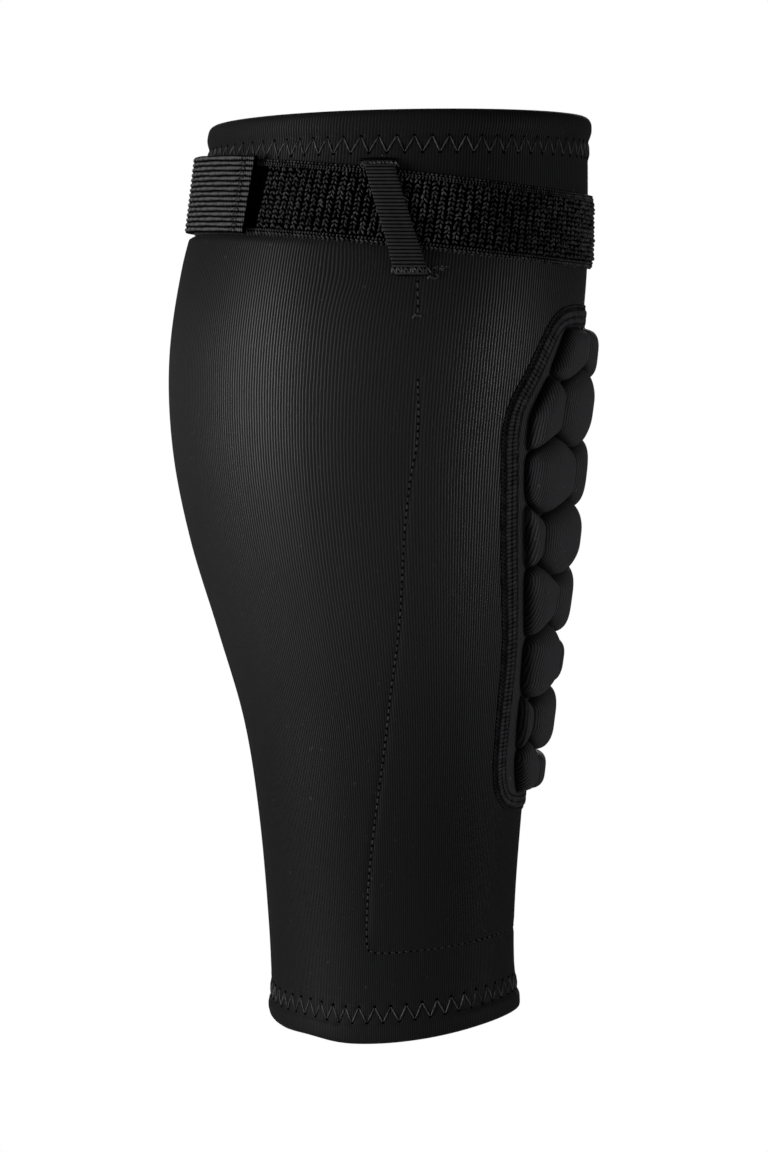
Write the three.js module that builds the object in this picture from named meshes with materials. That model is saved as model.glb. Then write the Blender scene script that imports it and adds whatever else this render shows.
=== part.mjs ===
// Waterski shin guard: a neoprene calf sleeve with a moulded pad of foam cells over the shin,
// a touch-fastening strap below the knee, the strap's pull tab and the ribbon keeper that holds it.
//
// Units are millimetres. +Z runs up the leg, -Y is the shin and +Y the calf.
// The origin is on the leg's axis, at the mean level of the sleeve's lower edge.
//
// Every piece is laid on the leg by three numbers: the turn round the leg (radians from the shin,
// positive towards +X), the height, and the lift, which is the distance out from the sleeve's face.

import * as THREE from "three";

// Driving dimensions

const SLEEVE_HEIGHT = 308; // lower edge to upper edge at its mean level
const NEOPRENE = 3; // wall of the sleeve
const HEM_HEIGHT = 14.5; // folded band at each end, down to the zigzag stitch
const HEM_BULGE = 1.4; // the fold stands this far out of the sleeve's face
const HEM_ROUND = 3; // radius of the fold
const EDGE_FADE = 70; // the waves of the two edges die out over this height

const STRAP_WIDTH = 25;
const STRAP_THICKNESS = 2.2;
const STRAP_HEIGHT = 278; // middle of the strap at the leg's axis
const STRAP_SLOPE = 0.09; // rise of the strap per millimetre towards the calf
const STRAP_SIDE_RISE = 1.7; // the strap sits this much higher at the sides
const STRAP_BITE = 2.6; // the tight strap presses this far into the calf
const STRAP_EASE = 0.1; // extra clearance, as the strap runs straight over the sleeve's curve

const TAB_WIDTH = 26;
const TAB_THICKNESS = 1.7;
const TAB_FREE_END = THREE.MathUtils.degToRad(-114);
const TAB_SEWN_END = THREE.MathUtils.degToRad(-182);
const TAB_CURL = 1.2; // the free end lifts off the strap

const KEEPER_WIDTH = 9.8;
const KEEPER_THICKNESS = 0.9;
const KEEPER_TURN = THREE.MathUtils.degToRad(-73);
const KEEPER_SLANT = 0.38; // sideways run per millimetre of drop

const SEAM_WIDTH = 7.2; // flat seam round the pad
const SEAM_THICKNESS = 0.9;
const PANEL_THICKNESS = 1;
const CELL_FULL_WIDTH = 12; // a narrower cell is lower
const CELL_GAP = 1.1; // half the valley between two cells
const CELL_MARGIN = 0.8; // from the seam to the outer cells
const ROW_ZIGZAG = 3.4; // half the height of the zigzag between two rows of cells
const CORNER_POWER = 9; // higher gives sharper corners on a cell's outline

const GAP = 0.35; // clearance between neighbouring pieces

// Tables

// The leg under the sleeve: distances from the axis to the sleeve's outer face.
const LEG_SECTIONS = [
  { height: 0, shin: 46.5, calf: 38.5, side: 37 },
  { height: 32, shin: 45.5, calf: 40, side: 36 },
  { height: 72, shin: 48, calf: 43.5, side: 39 },
  { height: 104, shin: 51.5, calf: 48.5, side: 44 },
  { height: 135, shin: 55.5, calf: 57.5, side: 51 },
  { height: 166, shin: 59.5, calf: 67, side: 57.5 },
  { height: 197, shin: 63, calf: 73, side: 62.5 },
  { height: 228, shin: 67, calf: 74, side: 65 },
  { height: 259, shin: 69.8, calf: 69.3, side: 65 },
  { height: 285, shin: 70, calf: 62, side: 63 },
  { height: 309, shin: 69.8, calf: 57.5, side: 61 },
];
const WIDEST_SHARE = 0.54; // the leg is widest at this share of its depth behind the shin

// Outer edge of the pad's seam: half width across the shin at each height.
const PAD_OUTLINE = [
  { height: 75, half: 9 },
  { height: 78, half: 15.5 },
  { height: 85, half: 20 },
  { height: 100, half: 22.5 },
  { height: 140, half: 29 },
  { height: 188, half: 38.5 },
  { height: 206, half: 41.5 },
  { height: 214, half: 40.5 },
  { height: 224, half: 34 },
  { height: 234, half: 26.5 },
  { height: 241, half: 22 },
  { height: 245.5, half: 16 },
];

// Rows of cells from the top: the row's upper line at the middle and at the pad's edges, the height of
// the crowns above the sleeve's face, and where the valleys between its cells are.
const CELL_ROWS = [
  { name: "a", top: 240, ends: 239, crown: 6.4, valleys: [0] },
  { name: "b", top: 223.5, ends: 223.5, crown: 7.4, valleys: [-15, 15] },
  { name: "c", top: 200.5, ends: 197, crown: 7.8, valleys: [-1] },
  { name: "d", top: 179, ends: 180.5, crown: 7.7, valleys: [-18, 17] },
  { name: "e", top: 157.5, ends: 157.5, crown: 7.7, valleys: [-5.5] },
  { name: "f", top: 136.5, ends: 132.5, crown: 8, valleys: [6.5] },
  { name: "g", top: 116, ends: 115.5, crown: 7.8, valleys: [-9] },
  { name: "h", top: 97.5, ends: 95, crown: 6.6, valleys: [-0.5] },
];
const CELLS_BOTTOM = 81;

// Half section of a cell from the middle of its back to the middle of its crown.
const CELL_PROFILE = [
  { reach: 0, rise: 0 },
  { reach: 0.55, rise: 0 },
  { reach: 1, rise: 0 },
  { reach: 0.96, rise: 0.45 },
  { reach: 0.82, rise: 0.82 },
  { reach: 0.52, rise: 0.97 },
  { reach: 0, rise: 1 },
];

// The leg's surface

// Smooth value of one column of a table at a height, with the slope at each row taken from its neighbours.
function readTable(table, column, height) {
  const last = table.length - 1;
  let i = 0;
  while (i < last - 1 && height > table[i + 1].height) i += 1;
  const slopeAt = (k) => {
    const below = table[Math.max(k - 1, 0)];
    const above = table[Math.min(k + 1, last)];
    return (above[column] - below[column]) / (above.height - below.height);
  };
  const span = table[i + 1].height - table[i].height;
  const t = THREE.MathUtils.clamp((height - table[i].height) / span, 0, 1);
  const from = table[i][column];
  const to = table[i + 1][column];
  const rise = to - from;
  const leave = slopeAt(i) * span - rise;
  const arrive = rise - slopeAt(i + 1) * span;
  return from + t * rise + t * (1 - t) * ((1 - t) * leave + t * arrive);
}

// Point on the sleeve's outer face. The shin half and the calf half are two half ellipses.
function facePoint(turn, height) {
  const shin = readTable(LEG_SECTIONS, "shin", height);
  const calf = readTable(LEG_SECTIONS, "calf", height);
  const side = readTable(LEG_SECTIONS, "side", height);
  const widest = WIDEST_SHARE * (shin + calf) - shin;
  const reach = Math.cos(turn) > 0 ? shin + widest : calf - widest;
  return new THREE.Vector3(side * Math.sin(turn), widest - reach * Math.cos(turn), height);
}

// Point at a lift above the face, along the face's own normal.
function legPoint(turn, height, lift) {
  const step = 0.01;
  const around = facePoint(turn + step, height).sub(facePoint(turn - step, height));
  const up = facePoint(turn, height + 1).sub(facePoint(turn, height - 1));
  const normal = around.cross(up).normalize();
  return facePoint(turn, height).addScaledVector(normal, lift);
}

// Turn at which the face has run a distance across from the shin line.
function turnAcross(across, height) {
  const step = 0.01;
  let turn = 0;
  let run = 0;
  let previous = facePoint(0, height);
  while (run < Math.abs(across)) {
    turn += step;
    const next = facePoint(turn, height);
    run += next.distanceTo(previous);
    previous = next;
  }
  const excess = run - Math.abs(across);
  const slip = excess * step / facePoint(turn, height).distanceTo(facePoint(turn - step, height));
  return Math.sign(across) * (turn - slip);
}

// Point of the pad, from its distance across the shin.
function padPoint(across, height, lift) {
  return legPoint(turnAcross(across, height), height, lift);
}

// Making meshes

// Moves every vertex of a geometry to a point worked out from its texture coordinates.
function shapeByUv(geometry, pointAt) {
  const { position, uv } = geometry.attributes;
  for (let i = 0; i < position.count; i += 1) {
    const point = pointAt(uv.getX(i), uv.getY(i));
    position.setXYZ(i, point.x, point.y, point.z);
  }
  geometry.computeVertexNormals();
  return geometry;
}

// Moves every vertex of a geometry to a point worked out from its own place.
function shapeByPlace(geometry, pointAt) {
  const { position } = geometry.attributes;
  const place = new THREE.Vector3();
  for (let i = 0; i < position.count; i += 1) {
    const point = pointAt(place.fromBufferAttribute(position, i));
    position.setXYZ(i, point.x, point.y, point.z);
  }
  geometry.computeVertexNormals();
  return geometry;
}

// A band whose section is the same closed list of corners all the way round a closed path.
function closedBand(corners, steps, pointAt) {
  const ring = new THREE.TorusGeometry(1, 0.5, corners.length, steps);
  return shapeByUv(ring, (u, v) => {
    const corner = corners[Math.round(v * corners.length) % corners.length];
    return pointAt((u % 1) * 2 * Math.PI, corner);
  });
}

function fabric(name, color, roughness) {
  return new THREE.MeshStandardMaterial({ name, color, roughness, metalness: 0 });
}

const neopreneFace = fabric("neoprene", 0x17171a, 0.78);
const padCloth = fabric("pad_cloth", 0x1a1a1d, 0.72);
const seamThread = fabric("seam_thread", 0x1b1a20, 0.85);
const loopPile = fabric("loop_pile", 0x121212, 0.9);
const ribbedWebbing = fabric("ribbed_webbing", 0x1e1e1e, 0.75);
const ribbon = fabric("ribbon", 0x1d1d1d, 0.7);

const shinGuard = new THREE.Group();
shinGuard.name = "waterski_shin_guard";

function addPiece(name, geometry, material) {
  const piece = new THREE.Mesh(geometry, material);
  piece.name = name;
  shinGuard.add(piece);
}

// Sleeve: one neoprene tube, folded in at both ends

// The lower edge is cut higher over the instep and dips at the sides; the upper edge crowns at the sides.
const LOWER_EDGE = { shin: 7, calf: 1.5, side: -2.5 };
const UPPER_EDGE = { shin: 2.2, calf: -0.6, side: 1 };

function edgeWave(edge, turn) {
  const ends = (edge.shin + edge.calf) / 2 + (edge.shin - edge.calf) / 2 * Math.cos(turn);
  return ends + (edge.side - (edge.shin + edge.calf) / 2) * Math.sin(turn) ** 2;
}

// Height on the leg of a level of the sleeve, whose levels bend with the two edges.
function sleeveHeight(turn, level) {
  const lower = Math.max(0, 1 - level / EDGE_FADE);
  const upper = Math.max(0, 1 - (SLEEVE_HEIGHT - level) / EDGE_FADE);
  return level + edgeWave(LOWER_EDGE, turn) * lower ** 2 + edgeWave(UPPER_EDGE, turn) * upper ** 2;
}

// Height of a line along the strap, at an offset up from the strap's middle.
function strapHeight(turn, offset) {
  const level = STRAP_HEIGHT + STRAP_SLOPE * facePoint(turn, STRAP_HEIGHT).y;
  return level + STRAP_SIDE_RISE * Math.sin(turn) ** 2 + offset;
}

// How deep the strap presses into the sleeve: not at all on the shin, most at the calf.
function strapBite(turn) {
  return STRAP_BITE * (0.5 - 0.5 * Math.cos(turn)) ** 2;
}

// Section of the sleeve as a closed list: up the outer face, over the fold, and down the inner face.
// A row is at a level of the sleeve, or at an offset from the strap where the strap beds in.
function sleeveSection() {
  const inside = HEM_BULGE - 2 * HEM_ROUND;
  const middle = HEM_BULGE - HEM_ROUND;
  const slant = HEM_ROUND * Math.SQRT1_2;
  const bodyRows = 14;
  const bodyTop = STRAP_HEIGHT - 30;
  const bed = [
    { offset: -0.5 * STRAP_WIDTH - 2.5, bite: 0 },
    { offset: -0.5 * STRAP_WIDTH + 0.5, bite: 1 },
    { offset: 0, bite: 1 },
  ];
  const hem = [
    { level: HEM_ROUND - slant, lift: middle + slant },
    { level: HEM_ROUND, lift: HEM_BULGE },
    { level: HEM_HEIGHT * 0.68, lift: HEM_BULGE },
  ];
  const hemInside = [
    { level: HEM_HEIGHT * 0.8, lift: inside },
    { level: HEM_ROUND, lift: inside },
    { level: HEM_ROUND - slant, lift: middle - slant },
  ];
  const body = [];
  for (let i = 0; i <= bodyRows; i += 1) {
    body.push(THREE.MathUtils.lerp(HEM_HEIGHT, bodyTop, i / bodyRows));
  }
  const topRow = SLEEVE_HEIGHT - HEM_HEIGHT;
  const fromTop = (row) => ({ level: SLEEVE_HEIGHT - row.level, lift: row.lift });
  return [
    { level: 0, lift: middle },
    ...hem,
    ...body.map((level) => ({ level, lift: 0 })),
    ...bed.map((row) => ({ ...row, lift: 0 })),
    { level: topRow, lift: 0 },
    ...hem.map(fromTop).reverse(),
    { level: SLEEVE_HEIGHT, lift: middle },
    ...hemInside.map(fromTop).reverse(),
    { level: topRow, lift: -NEOPRENE },
    ...bed.map((row) => ({ ...row, lift: -NEOPRENE })).reverse(),
    ...body.map((level) => ({ level, lift: -NEOPRENE })).reverse(),
    ...hemInside,
  ];
}

// How far the sleeve's own face stands out at a height, which is only at the hems.
function hemLift(turn, height) {
  const fromEnd = Math.min(sleeveHeight(turn, SLEEVE_HEIGHT) - height, height - sleeveHeight(turn, 0));
  const fall = (fromEnd - HEM_HEIGHT * 0.68) / (HEM_HEIGHT * 0.32);
  return HEM_BULGE * THREE.MathUtils.clamp(1 - fall, 0, 1);
}

// Point at a lift above the sleeve's face, hems and all.
function overSleeve(turn, height, lift) {
  return legPoint(turn, height, lift + hemLift(turn, height));
}

const SLEEVE_STEPS = 44;
const sleeve = closedBand(sleeveSection(), SLEEVE_STEPS, (turn, row) => {
  if (row.level !== undefined) return legPoint(turn, sleeveHeight(turn, row.level), row.lift);
  return legPoint(turn, strapHeight(turn, row.offset), row.lift - row.bite * strapBite(turn));
});
addPiece("sleeve", sleeve, neopreneFace);

// Pad: a cloth panel, the flat seam round it, and the foam cells

// Points round one side of the outline, from the bottom middle to the top middle.
function padOutlinePath() {
  const side = PAD_OUTLINE.map((row) => new THREE.Vector2(row.half, row.height));
  const bottom = new THREE.Vector2(0, PAD_OUTLINE[0].height - 0.8);
  const top = new THREE.Vector2(0, PAD_OUTLINE[PAD_OUTLINE.length - 1].height + 0.8);
  const otherSide = side.map((point) => new THREE.Vector2(-point.x, point.y)).reverse();
  const flat = [bottom, ...side, top, ...otherSide].map((point) => new THREE.Vector3(point.x, point.y, 0));
  return new THREE.CatmullRomCurve3(flat, true, "centripetal");
}

const outlinePath = padOutlinePath();

const SEAM_STEPS = 84;
const seamCorners = [
  { inset: 0, lift: GAP },
  { inset: 0.06 * SEAM_WIDTH, lift: 0.75 * SEAM_THICKNESS },
  { inset: 0.3 * SEAM_WIDTH, lift: GAP + SEAM_THICKNESS },
  { inset: 0.7 * SEAM_WIDTH, lift: GAP + SEAM_THICKNESS },
  { inset: 0.94 * SEAM_WIDTH, lift: 0.75 * SEAM_THICKNESS },
  { inset: SEAM_WIDTH, lift: GAP },
];

function insetPoint(along, inset) {
  const point = outlinePath.getPointAt(along);
  const tangent = outlinePath.getTangentAt(along);
  return new THREE.Vector2(point.x - tangent.y * inset, point.y + tangent.x * inset);
}

const padSeam = closedBand(seamCorners, SEAM_STEPS, (angle, corner) => {
  const point = insetPoint(angle / (2 * Math.PI), corner.inset);
  return padPoint(point.x, point.y, corner.lift);
});
addPiece("pad_seam", padSeam, seamThread);

// Half width of the cloth inside the seam at a height.
const insideOutline = [];
for (let i = 0; i <= SEAM_STEPS; i += 1) {
  insideOutline.push(insetPoint(0.5 * i / SEAM_STEPS, SEAM_WIDTH + GAP));
}

function panelHalf(height) {
  let half = 0;
  for (let i = 1; i < insideOutline.length; i += 1) {
    const [from, to] = [insideOutline[i - 1], insideOutline[i]];
    if ((from.y - height) * (to.y - height) <= 0 && from.y !== to.y) {
      half = Math.max(half, from.x + (to.x - from.x) * (height - from.y) / (to.y - from.y));
    }
  }
  return half;
}

const insideHeights = insideOutline.map((point) => point.y);
const panelBottom = Math.min(...insideHeights) + 0.4;
const panelTop = Math.max(...insideHeights) - 0.4;
const PANEL_COLUMNS = 12;
const PANEL_ROWS = 26;
const panelBlock = new THREE.BoxGeometry(2, 2, 1, PANEL_COLUMNS, PANEL_ROWS, 1);
const padPanel = shapeByPlace(panelBlock, (place) => {
  const height = THREE.MathUtils.lerp(panelBottom, panelTop, 0.5 - 0.5 * Math.cos(Math.PI * (place.y + 1) / 2));
  return padPoint(place.x * panelHalf(height), height, GAP + PANEL_THICKNESS * (place.z + 0.5));
});
addPiece("pad_panel", padPanel, padCloth);

// Line between row i - 1 and row i: it peaks under the upper row's valleys and dips over the lower row's.
function rowLine(i) {
  const last = CELL_ROWS.length;
  const { top, ends } = i < last ? CELL_ROWS[i] : { top: CELLS_BOTTOM, ends: CELLS_BOTTOM };
  const inner = i > 0 && i < last;
  const upper = inner ? CELL_ROWS[i - 1].valleys : [];
  const lower = inner ? CELL_ROWS[i].valleys : [];
  const reach = panelHalf(THREE.MathUtils.clamp(ends, panelBottom + 2, panelTop - 2)) - CELL_MARGIN;
  return [
    new THREE.Vector2(-reach, ends),
    ...upper.map((across) => new THREE.Vector2(across, top + ROW_ZIGZAG)),
    ...lower.map((across) => new THREE.Vector2(across, top - ROW_ZIGZAG)),
    new THREE.Vector2(reach, ends),
  ].sort((p, q) => p.x - q.x);
}

// Point of a line at a valley between two of its own points, or its end where there is no valley.
function onLine(line, across) {
  if (across === -Infinity) return line[0];
  if (across === Infinity) return line[line.length - 1];
  let i = 1;
  while (i < line.length - 1 && across > line[i].x) i += 1;
  const share = (across - line[i - 1].x) / (line[i].x - line[i - 1].x);
  return line[i - 1].clone().lerp(line[i], share);
}

// Extra corner half way up the outer side of a cell, where the pad's edge swells past the straight line.
function swellCorner(from, to) {
  const height = (from.y + to.y) / 2;
  const reach = panelHalf(height) - CELL_MARGIN;
  const straight = Math.abs(from.x + to.x) / 2;
  return reach > straight + 0.3 ? [new THREE.Vector2(Math.sign(from.x) * reach, height)] : [];
}

// Corners of one cell, anticlockwise, between two row lines and two valleys.
function cellCorners(row, left, right) {
  const upper = rowLine(row);
  const lower = rowLine(row + 1);
  const [lowerLeft, lowerRight] = [onLine(lower, left), onLine(lower, right)];
  const [upperLeft, upperRight] = [onLine(upper, left), onLine(upper, right)];
  const between = (line, from, to) => line.filter((point) => point.x > from.x + 0.5 && point.x < to.x - 0.5);
  return [
    lowerLeft,
    ...between(lower, lowerLeft, lowerRight),
    lowerRight,
    ...(right === Infinity ? swellCorner(lowerRight, upperRight) : []),
    upperRight,
    ...between(upper, upperLeft, upperRight).reverse(),
    upperLeft,
    ...(left === -Infinity ? swellCorner(upperLeft, lowerLeft) : []),
  ];
}

// A cell's outline as a rounded polygon: how far it reaches from its middle in a direction.
function cellOutline(corners) {
  const middle = corners.reduce((sum, corner) => sum.add(corner), new THREE.Vector2()).divideScalar(corners.length);
  const sides = corners.map((corner, i) => {
    const run = corners[(i + 1) % corners.length].clone().sub(corner).normalize();
    const outward = new THREE.Vector2(run.y, -run.x);
    return { outward, distance: outward.dot(corner.clone().sub(middle)) - CELL_GAP };
  });
  const reach = (direction) => {
    const pressed = sides.map((side) => Math.max(0, side.outward.dot(direction) / side.distance) ** CORNER_POWER);
    return pressed.reduce((sum, value) => sum + value, 0) ** (-1 / CORNER_POWER);
  };
  return { middle, reach };
}

const CELL_SIDES = 18;
const cellBase = 2 * GAP + PANEL_THICKNESS;

function cellGeometry({ middle, reach }, crown) {
  const profile = CELL_PROFILE.map((point) => new THREE.Vector2(point.reach, point.rise));
  return shapeByPlace(new THREE.LatheGeometry(profile, CELL_SIDES), (place) => {
    const direction = new THREE.Vector2(place.z, place.x);
    const share = direction.length();
    const spread = share > 0 ? share * reach(direction.divideScalar(share)) : 0;
    const lift = THREE.MathUtils.lerp(cellBase, crown, place.y);
    return padPoint(middle.x + direction.x * spread, middle.y + direction.y * spread, lift);
  });
}

CELL_ROWS.forEach((row, i) => {
  const valleys = [-Infinity, ...row.valleys, Infinity];
  for (let k = 1; k < valleys.length; k += 1) {
    const corners = cellCorners(i, valleys[k - 1], valleys[k]);
    const places = corners.map((corner) => corner.x);
    const width = Math.max(...places) - Math.min(...places) - 2 * CELL_GAP;
    const share = Math.sqrt(Math.min(1, width / CELL_FULL_WIDTH));
    const crown = THREE.MathUtils.lerp(cellBase, row.crown, share);
    addPiece(`cell_${row.name}${k}`, cellGeometry(cellOutline(corners), crown), padCloth);
  }
});

// Strap: a loop-faced band round the top of the sleeve, lower on the shin than on the calf

// Point on the strap's bed, which runs straight from under its lower edge to under its upper edge.
function strapPoint(turn, offset, lift) {
  const half = 0.5 * STRAP_WIDTH;
  const low = legPoint(turn, strapHeight(turn, -half), lift - strapBite(turn) + STRAP_EASE);
  const high = overSleeve(turn, strapHeight(turn, half), lift + STRAP_EASE);
  return low.lerp(high, offset / STRAP_WIDTH + 0.5);
}

const strapCorners = [
  { offset: -0.5 * STRAP_WIDTH, lift: GAP },
  { offset: -0.5 * STRAP_WIDTH, lift: GAP + 0.6 * STRAP_THICKNESS },
  { offset: -0.44 * STRAP_WIDTH, lift: GAP + STRAP_THICKNESS },
  { offset: 0.44 * STRAP_WIDTH, lift: GAP + STRAP_THICKNESS },
  { offset: 0.5 * STRAP_WIDTH, lift: GAP + 0.6 * STRAP_THICKNESS },
  { offset: 0.5 * STRAP_WIDTH, lift: GAP },
];
const STRAP_STEPS = 44;
const strap = closedBand(strapCorners, STRAP_STEPS, (turn, corner) =>
  strapPoint(turn, corner.offset, corner.lift));
addPiece("strap", strap, loopPile);

// Pull tab: ribbed webbing on the strap's end, pressed on the strap and curling off it at its free end

const tabSeat = 2 * GAP + STRAP_THICKNESS;
const TAB_STEPS = 14;
const tabBlock = new THREE.BoxGeometry(1, 1, 1, TAB_STEPS, 2, 1);
const tab = shapeByPlace(tabBlock, (place) => {
  const along = place.x + 0.5;
  const turn = THREE.MathUtils.lerp(TAB_SEWN_END, TAB_FREE_END, along);
  const lift = tabSeat + TAB_CURL * Math.max(0, (along - 0.6) / 0.4) ** 2 + TAB_THICKNESS * (place.z + 0.5);
  return strapPoint(turn, TAB_WIDTH * place.y, lift);
});
addPiece("strap_tab", tab, ribbedWebbing);

// Keeper: a ribbon sewn to the sleeve above and below the strap, which runs under it

const keeperOver = 2 * GAP + STRAP_THICKNESS;
const KEEPER_PATH = [
  { offset: -21.5, lift: GAP },
  { offset: -18, lift: GAP },
  { offset: -15.5, lift: 0.5 * keeperOver },
  { offset: -13, lift: keeperOver },
  { offset: -6, lift: keeperOver },
  { offset: 0, lift: keeperOver },
  { offset: 6, lift: keeperOver },
  { offset: 12.8, lift: keeperOver },
  { offset: 13.7, lift: 0.5 * keeperOver },
  { offset: 14.4, lift: GAP },
  { offset: 15.8, lift: GAP },
];
const keeperFoot = facePoint(KEEPER_TURN, STRAP_HEIGHT);
const keeperRadius = Math.hypot(keeperFoot.x, keeperFoot.y);
const keeperBlock = new THREE.BoxGeometry(1, 1, 1, 3, KEEPER_PATH.length - 1, 1);
const keeper = shapeByPlace(keeperBlock, (place) => {
  const step = KEEPER_PATH[Math.round((place.y + 0.5) * (KEEPER_PATH.length - 1))];
  const across = KEEPER_WIDTH * place.x - KEEPER_SLANT * step.offset;
  const turn = KEEPER_TURN + across / keeperRadius;
  const lift = step.lift + KEEPER_THICKNESS * (place.z + 0.5);
  const onStrap = Math.abs(step.offset) <= 0.5 * STRAP_WIDTH + 0.6;
  return onStrap ? strapPoint(turn, step.offset, lift) : overSleeve(turn, strapHeight(turn, step.offset), lift);
});
addPiece("strap_keeper", keeper, ribbon);

export default shinGuard;
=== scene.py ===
import math

import bpy
import numpy as np
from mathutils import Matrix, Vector


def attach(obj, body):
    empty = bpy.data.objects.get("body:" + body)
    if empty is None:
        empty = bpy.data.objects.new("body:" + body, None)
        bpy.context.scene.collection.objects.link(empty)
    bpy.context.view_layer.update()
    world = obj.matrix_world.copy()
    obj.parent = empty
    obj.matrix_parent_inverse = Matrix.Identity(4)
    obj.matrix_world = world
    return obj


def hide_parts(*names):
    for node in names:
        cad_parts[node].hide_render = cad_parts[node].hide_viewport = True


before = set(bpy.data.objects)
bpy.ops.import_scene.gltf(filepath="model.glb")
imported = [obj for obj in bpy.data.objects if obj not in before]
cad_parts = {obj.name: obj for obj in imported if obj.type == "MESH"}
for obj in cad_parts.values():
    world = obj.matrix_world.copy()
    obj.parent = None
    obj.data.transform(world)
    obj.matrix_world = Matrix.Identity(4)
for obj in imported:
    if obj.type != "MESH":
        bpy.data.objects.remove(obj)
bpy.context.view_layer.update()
bpy.ops.object.select_all(action="DESELECT")


# Camera. It looks at the side with the pull tab, a little round to the shin, from just above the middle.
# It stands far off with a long lens, so the sleeve's edges keep nearly their true shape.
camera_azimuth = math.radians(-75)
camera_elevation = math.radians(3.7)
camera_distance = 1.2
camera_lens = 108.75
looked_at = Vector((0, 0, 0.1535))
towards_camera = Vector((
    math.sin(camera_azimuth) * math.cos(camera_elevation),
    -math.cos(camera_azimuth) * math.cos(camera_elevation),
    math.sin(camera_elevation),
))
bpy.ops.object.camera_add(
    location=looked_at + towards_camera * camera_distance,
    rotation=towards_camera.to_track_quat("Z", "Y").to_euler(),
)
camera = bpy.context.object
camera.name = "camera"
camera.data.lens = camera_lens
bpy.context.scene.camera = camera


# Studio. A tall soft box lights the calf from the left, a weaker one the shin, and a broad one the far side.
# The camera sees a white floor and sweep that shed little light, so the black cloth shows by its sheen.
lit_height = 0.17


def soft_box(name, azimuth, distance, height, size, watts):
    bearing = math.radians(azimuth)
    place = Vector((math.sin(bearing) * distance, -math.cos(bearing) * distance, height))
    aim = (place - Vector((0, 0, lit_height))).to_track_quat("Z", "Y")
    bpy.ops.object.light_add(type="AREA", location=place, rotation=aim.to_euler())
    light = bpy.context.object
    light.name = name
    light.data.shape = "RECTANGLE"
    light.data.size, light.data.size_y = size
    light.data.energy = watts


soft_box("calf_soft_box", -137, 1.1, 0.26, (0.26, 0.8), 4.5)
soft_box("shin_soft_box", -5, 1.1, 0.06, (0.24, 0.22), 1.2)
soft_box("far_soft_box", 102, 1.2, 0.6, (0.5, 0.8), 7)


def join(tree, node, inputs):
    """Gives each input of a node a value, or joins it to another node's output."""
    for socket, value in dict(inputs).items():
        if isinstance(value, bpy.types.NodeSocket):
            tree.links.new(value, node.inputs[socket])
        else:
            node.inputs[socket].default_value = value


def add_node(tree, kind, inputs=(), **settings):
    node = tree.nodes.new(kind)
    for key, value in settings.items():
        setattr(node, key, value)
    join(tree, node, inputs)
    return node


def maths(tree, operation, *values):
    return add_node(tree, "ShaderNodeMath", enumerate(values), operation=operation).outputs[0]


def ranged(tree, value, low, high, at_low=0.0, at_high=1.0, ease="LINEAR"):
    """Carries a value from one range into another."""
    limits = {"Value": value, "From Min": low, "From Max": high, "To Min": at_low, "To Max": at_high}
    return add_node(tree, "ShaderNodeMapRange", limits, interpolation_type=ease).outputs["Result"]


def shown_to_camera(tree, shown, lit, output):
    """Shows one shader to the camera and the other to all other light."""
    ray = add_node(tree, "ShaderNodeLightPath").outputs["Is Camera Ray"]
    choice = add_node(tree, "ShaderNodeMixShader", {"Fac": ray, 1: lit.outputs[0], 2: shown.outputs[0]})
    add_node(tree, output, {"Surface": choice.outputs["Shader"]})


def new_material(name):
    material = bpy.data.materials.new(name)
    material.use_nodes = True
    return material, material.node_tree


white = (1, 1, 1, 1)
wall_top = 0.5
wall_light = 0.1
overhead_light = 0.015
sweep = bpy.data.worlds.new("white_sweep")
bpy.context.scene.world = sweep
sweep.use_nodes = True
air = sweep.node_tree
air.nodes.clear()
sky = add_node(air, "ShaderNodeTexCoord").outputs["Generated"]
sky_height = add_node(air, "ShaderNodeSeparateXYZ", {0: sky}).outputs["Z"]
shed_light = ranged(air, maths(air, "ABSOLUTE", sky_height), 0.0, wall_top, wall_light, overhead_light)
seen = add_node(air, "ShaderNodeBackground", {"Color": white, "Strength": 1.0})
shed = add_node(air, "ShaderNodeBackground", {"Color": white, "Strength": shed_light})
shown_to_camera(air, seen, shed, "ShaderNodeOutputWorld")
bpy.context.scene.view_settings.view_transform = "Standard"

bpy.ops.mesh.primitive_plane_add(size=8, location=(0, 0, -0.45))
floor = bpy.context.object
floor.name = "floor"
floor_paint, paint = new_material("pale_floor")
paint.nodes.clear()
floor_seen = add_node(paint, "ShaderNodeEmission", {"Strength": 1.0})
floor_matt = add_node(paint, "ShaderNodeBsdfDiffuse", {"Color": (0.45, 0.45, 0.45, 1)})
shown_to_camera(paint, floor_seen, floor_matt, "ShaderNodeOutputMaterial")
floor.data.materials.append(floor_paint)


# Sleeve. One panel of 3 mm neoprene, faced on both sides with a fine black knit, sewn into a tube at the back
# of the calf. Both ends are folded in and held by a zigzag stitch. Sizes are in millimetres.
MM = 0.001
leg_heights = np.array([0, 32, 72, 104, 135, 166, 197, 228, 259, 285, 309], float)
leg_shin = np.array([46.5, 45.5, 48, 51.5, 55.5, 59.5, 63, 67, 69.8, 70, 69.8])
leg_calf = np.array([38.5, 40, 43.5, 48.5, 57.5, 67, 73, 74, 69.3, 62, 57.5])
leg_side = np.array([37, 36, 39, 44, 51, 57.5, 62.5, 65, 65, 63, 61])
widest_share = 0.54


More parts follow.
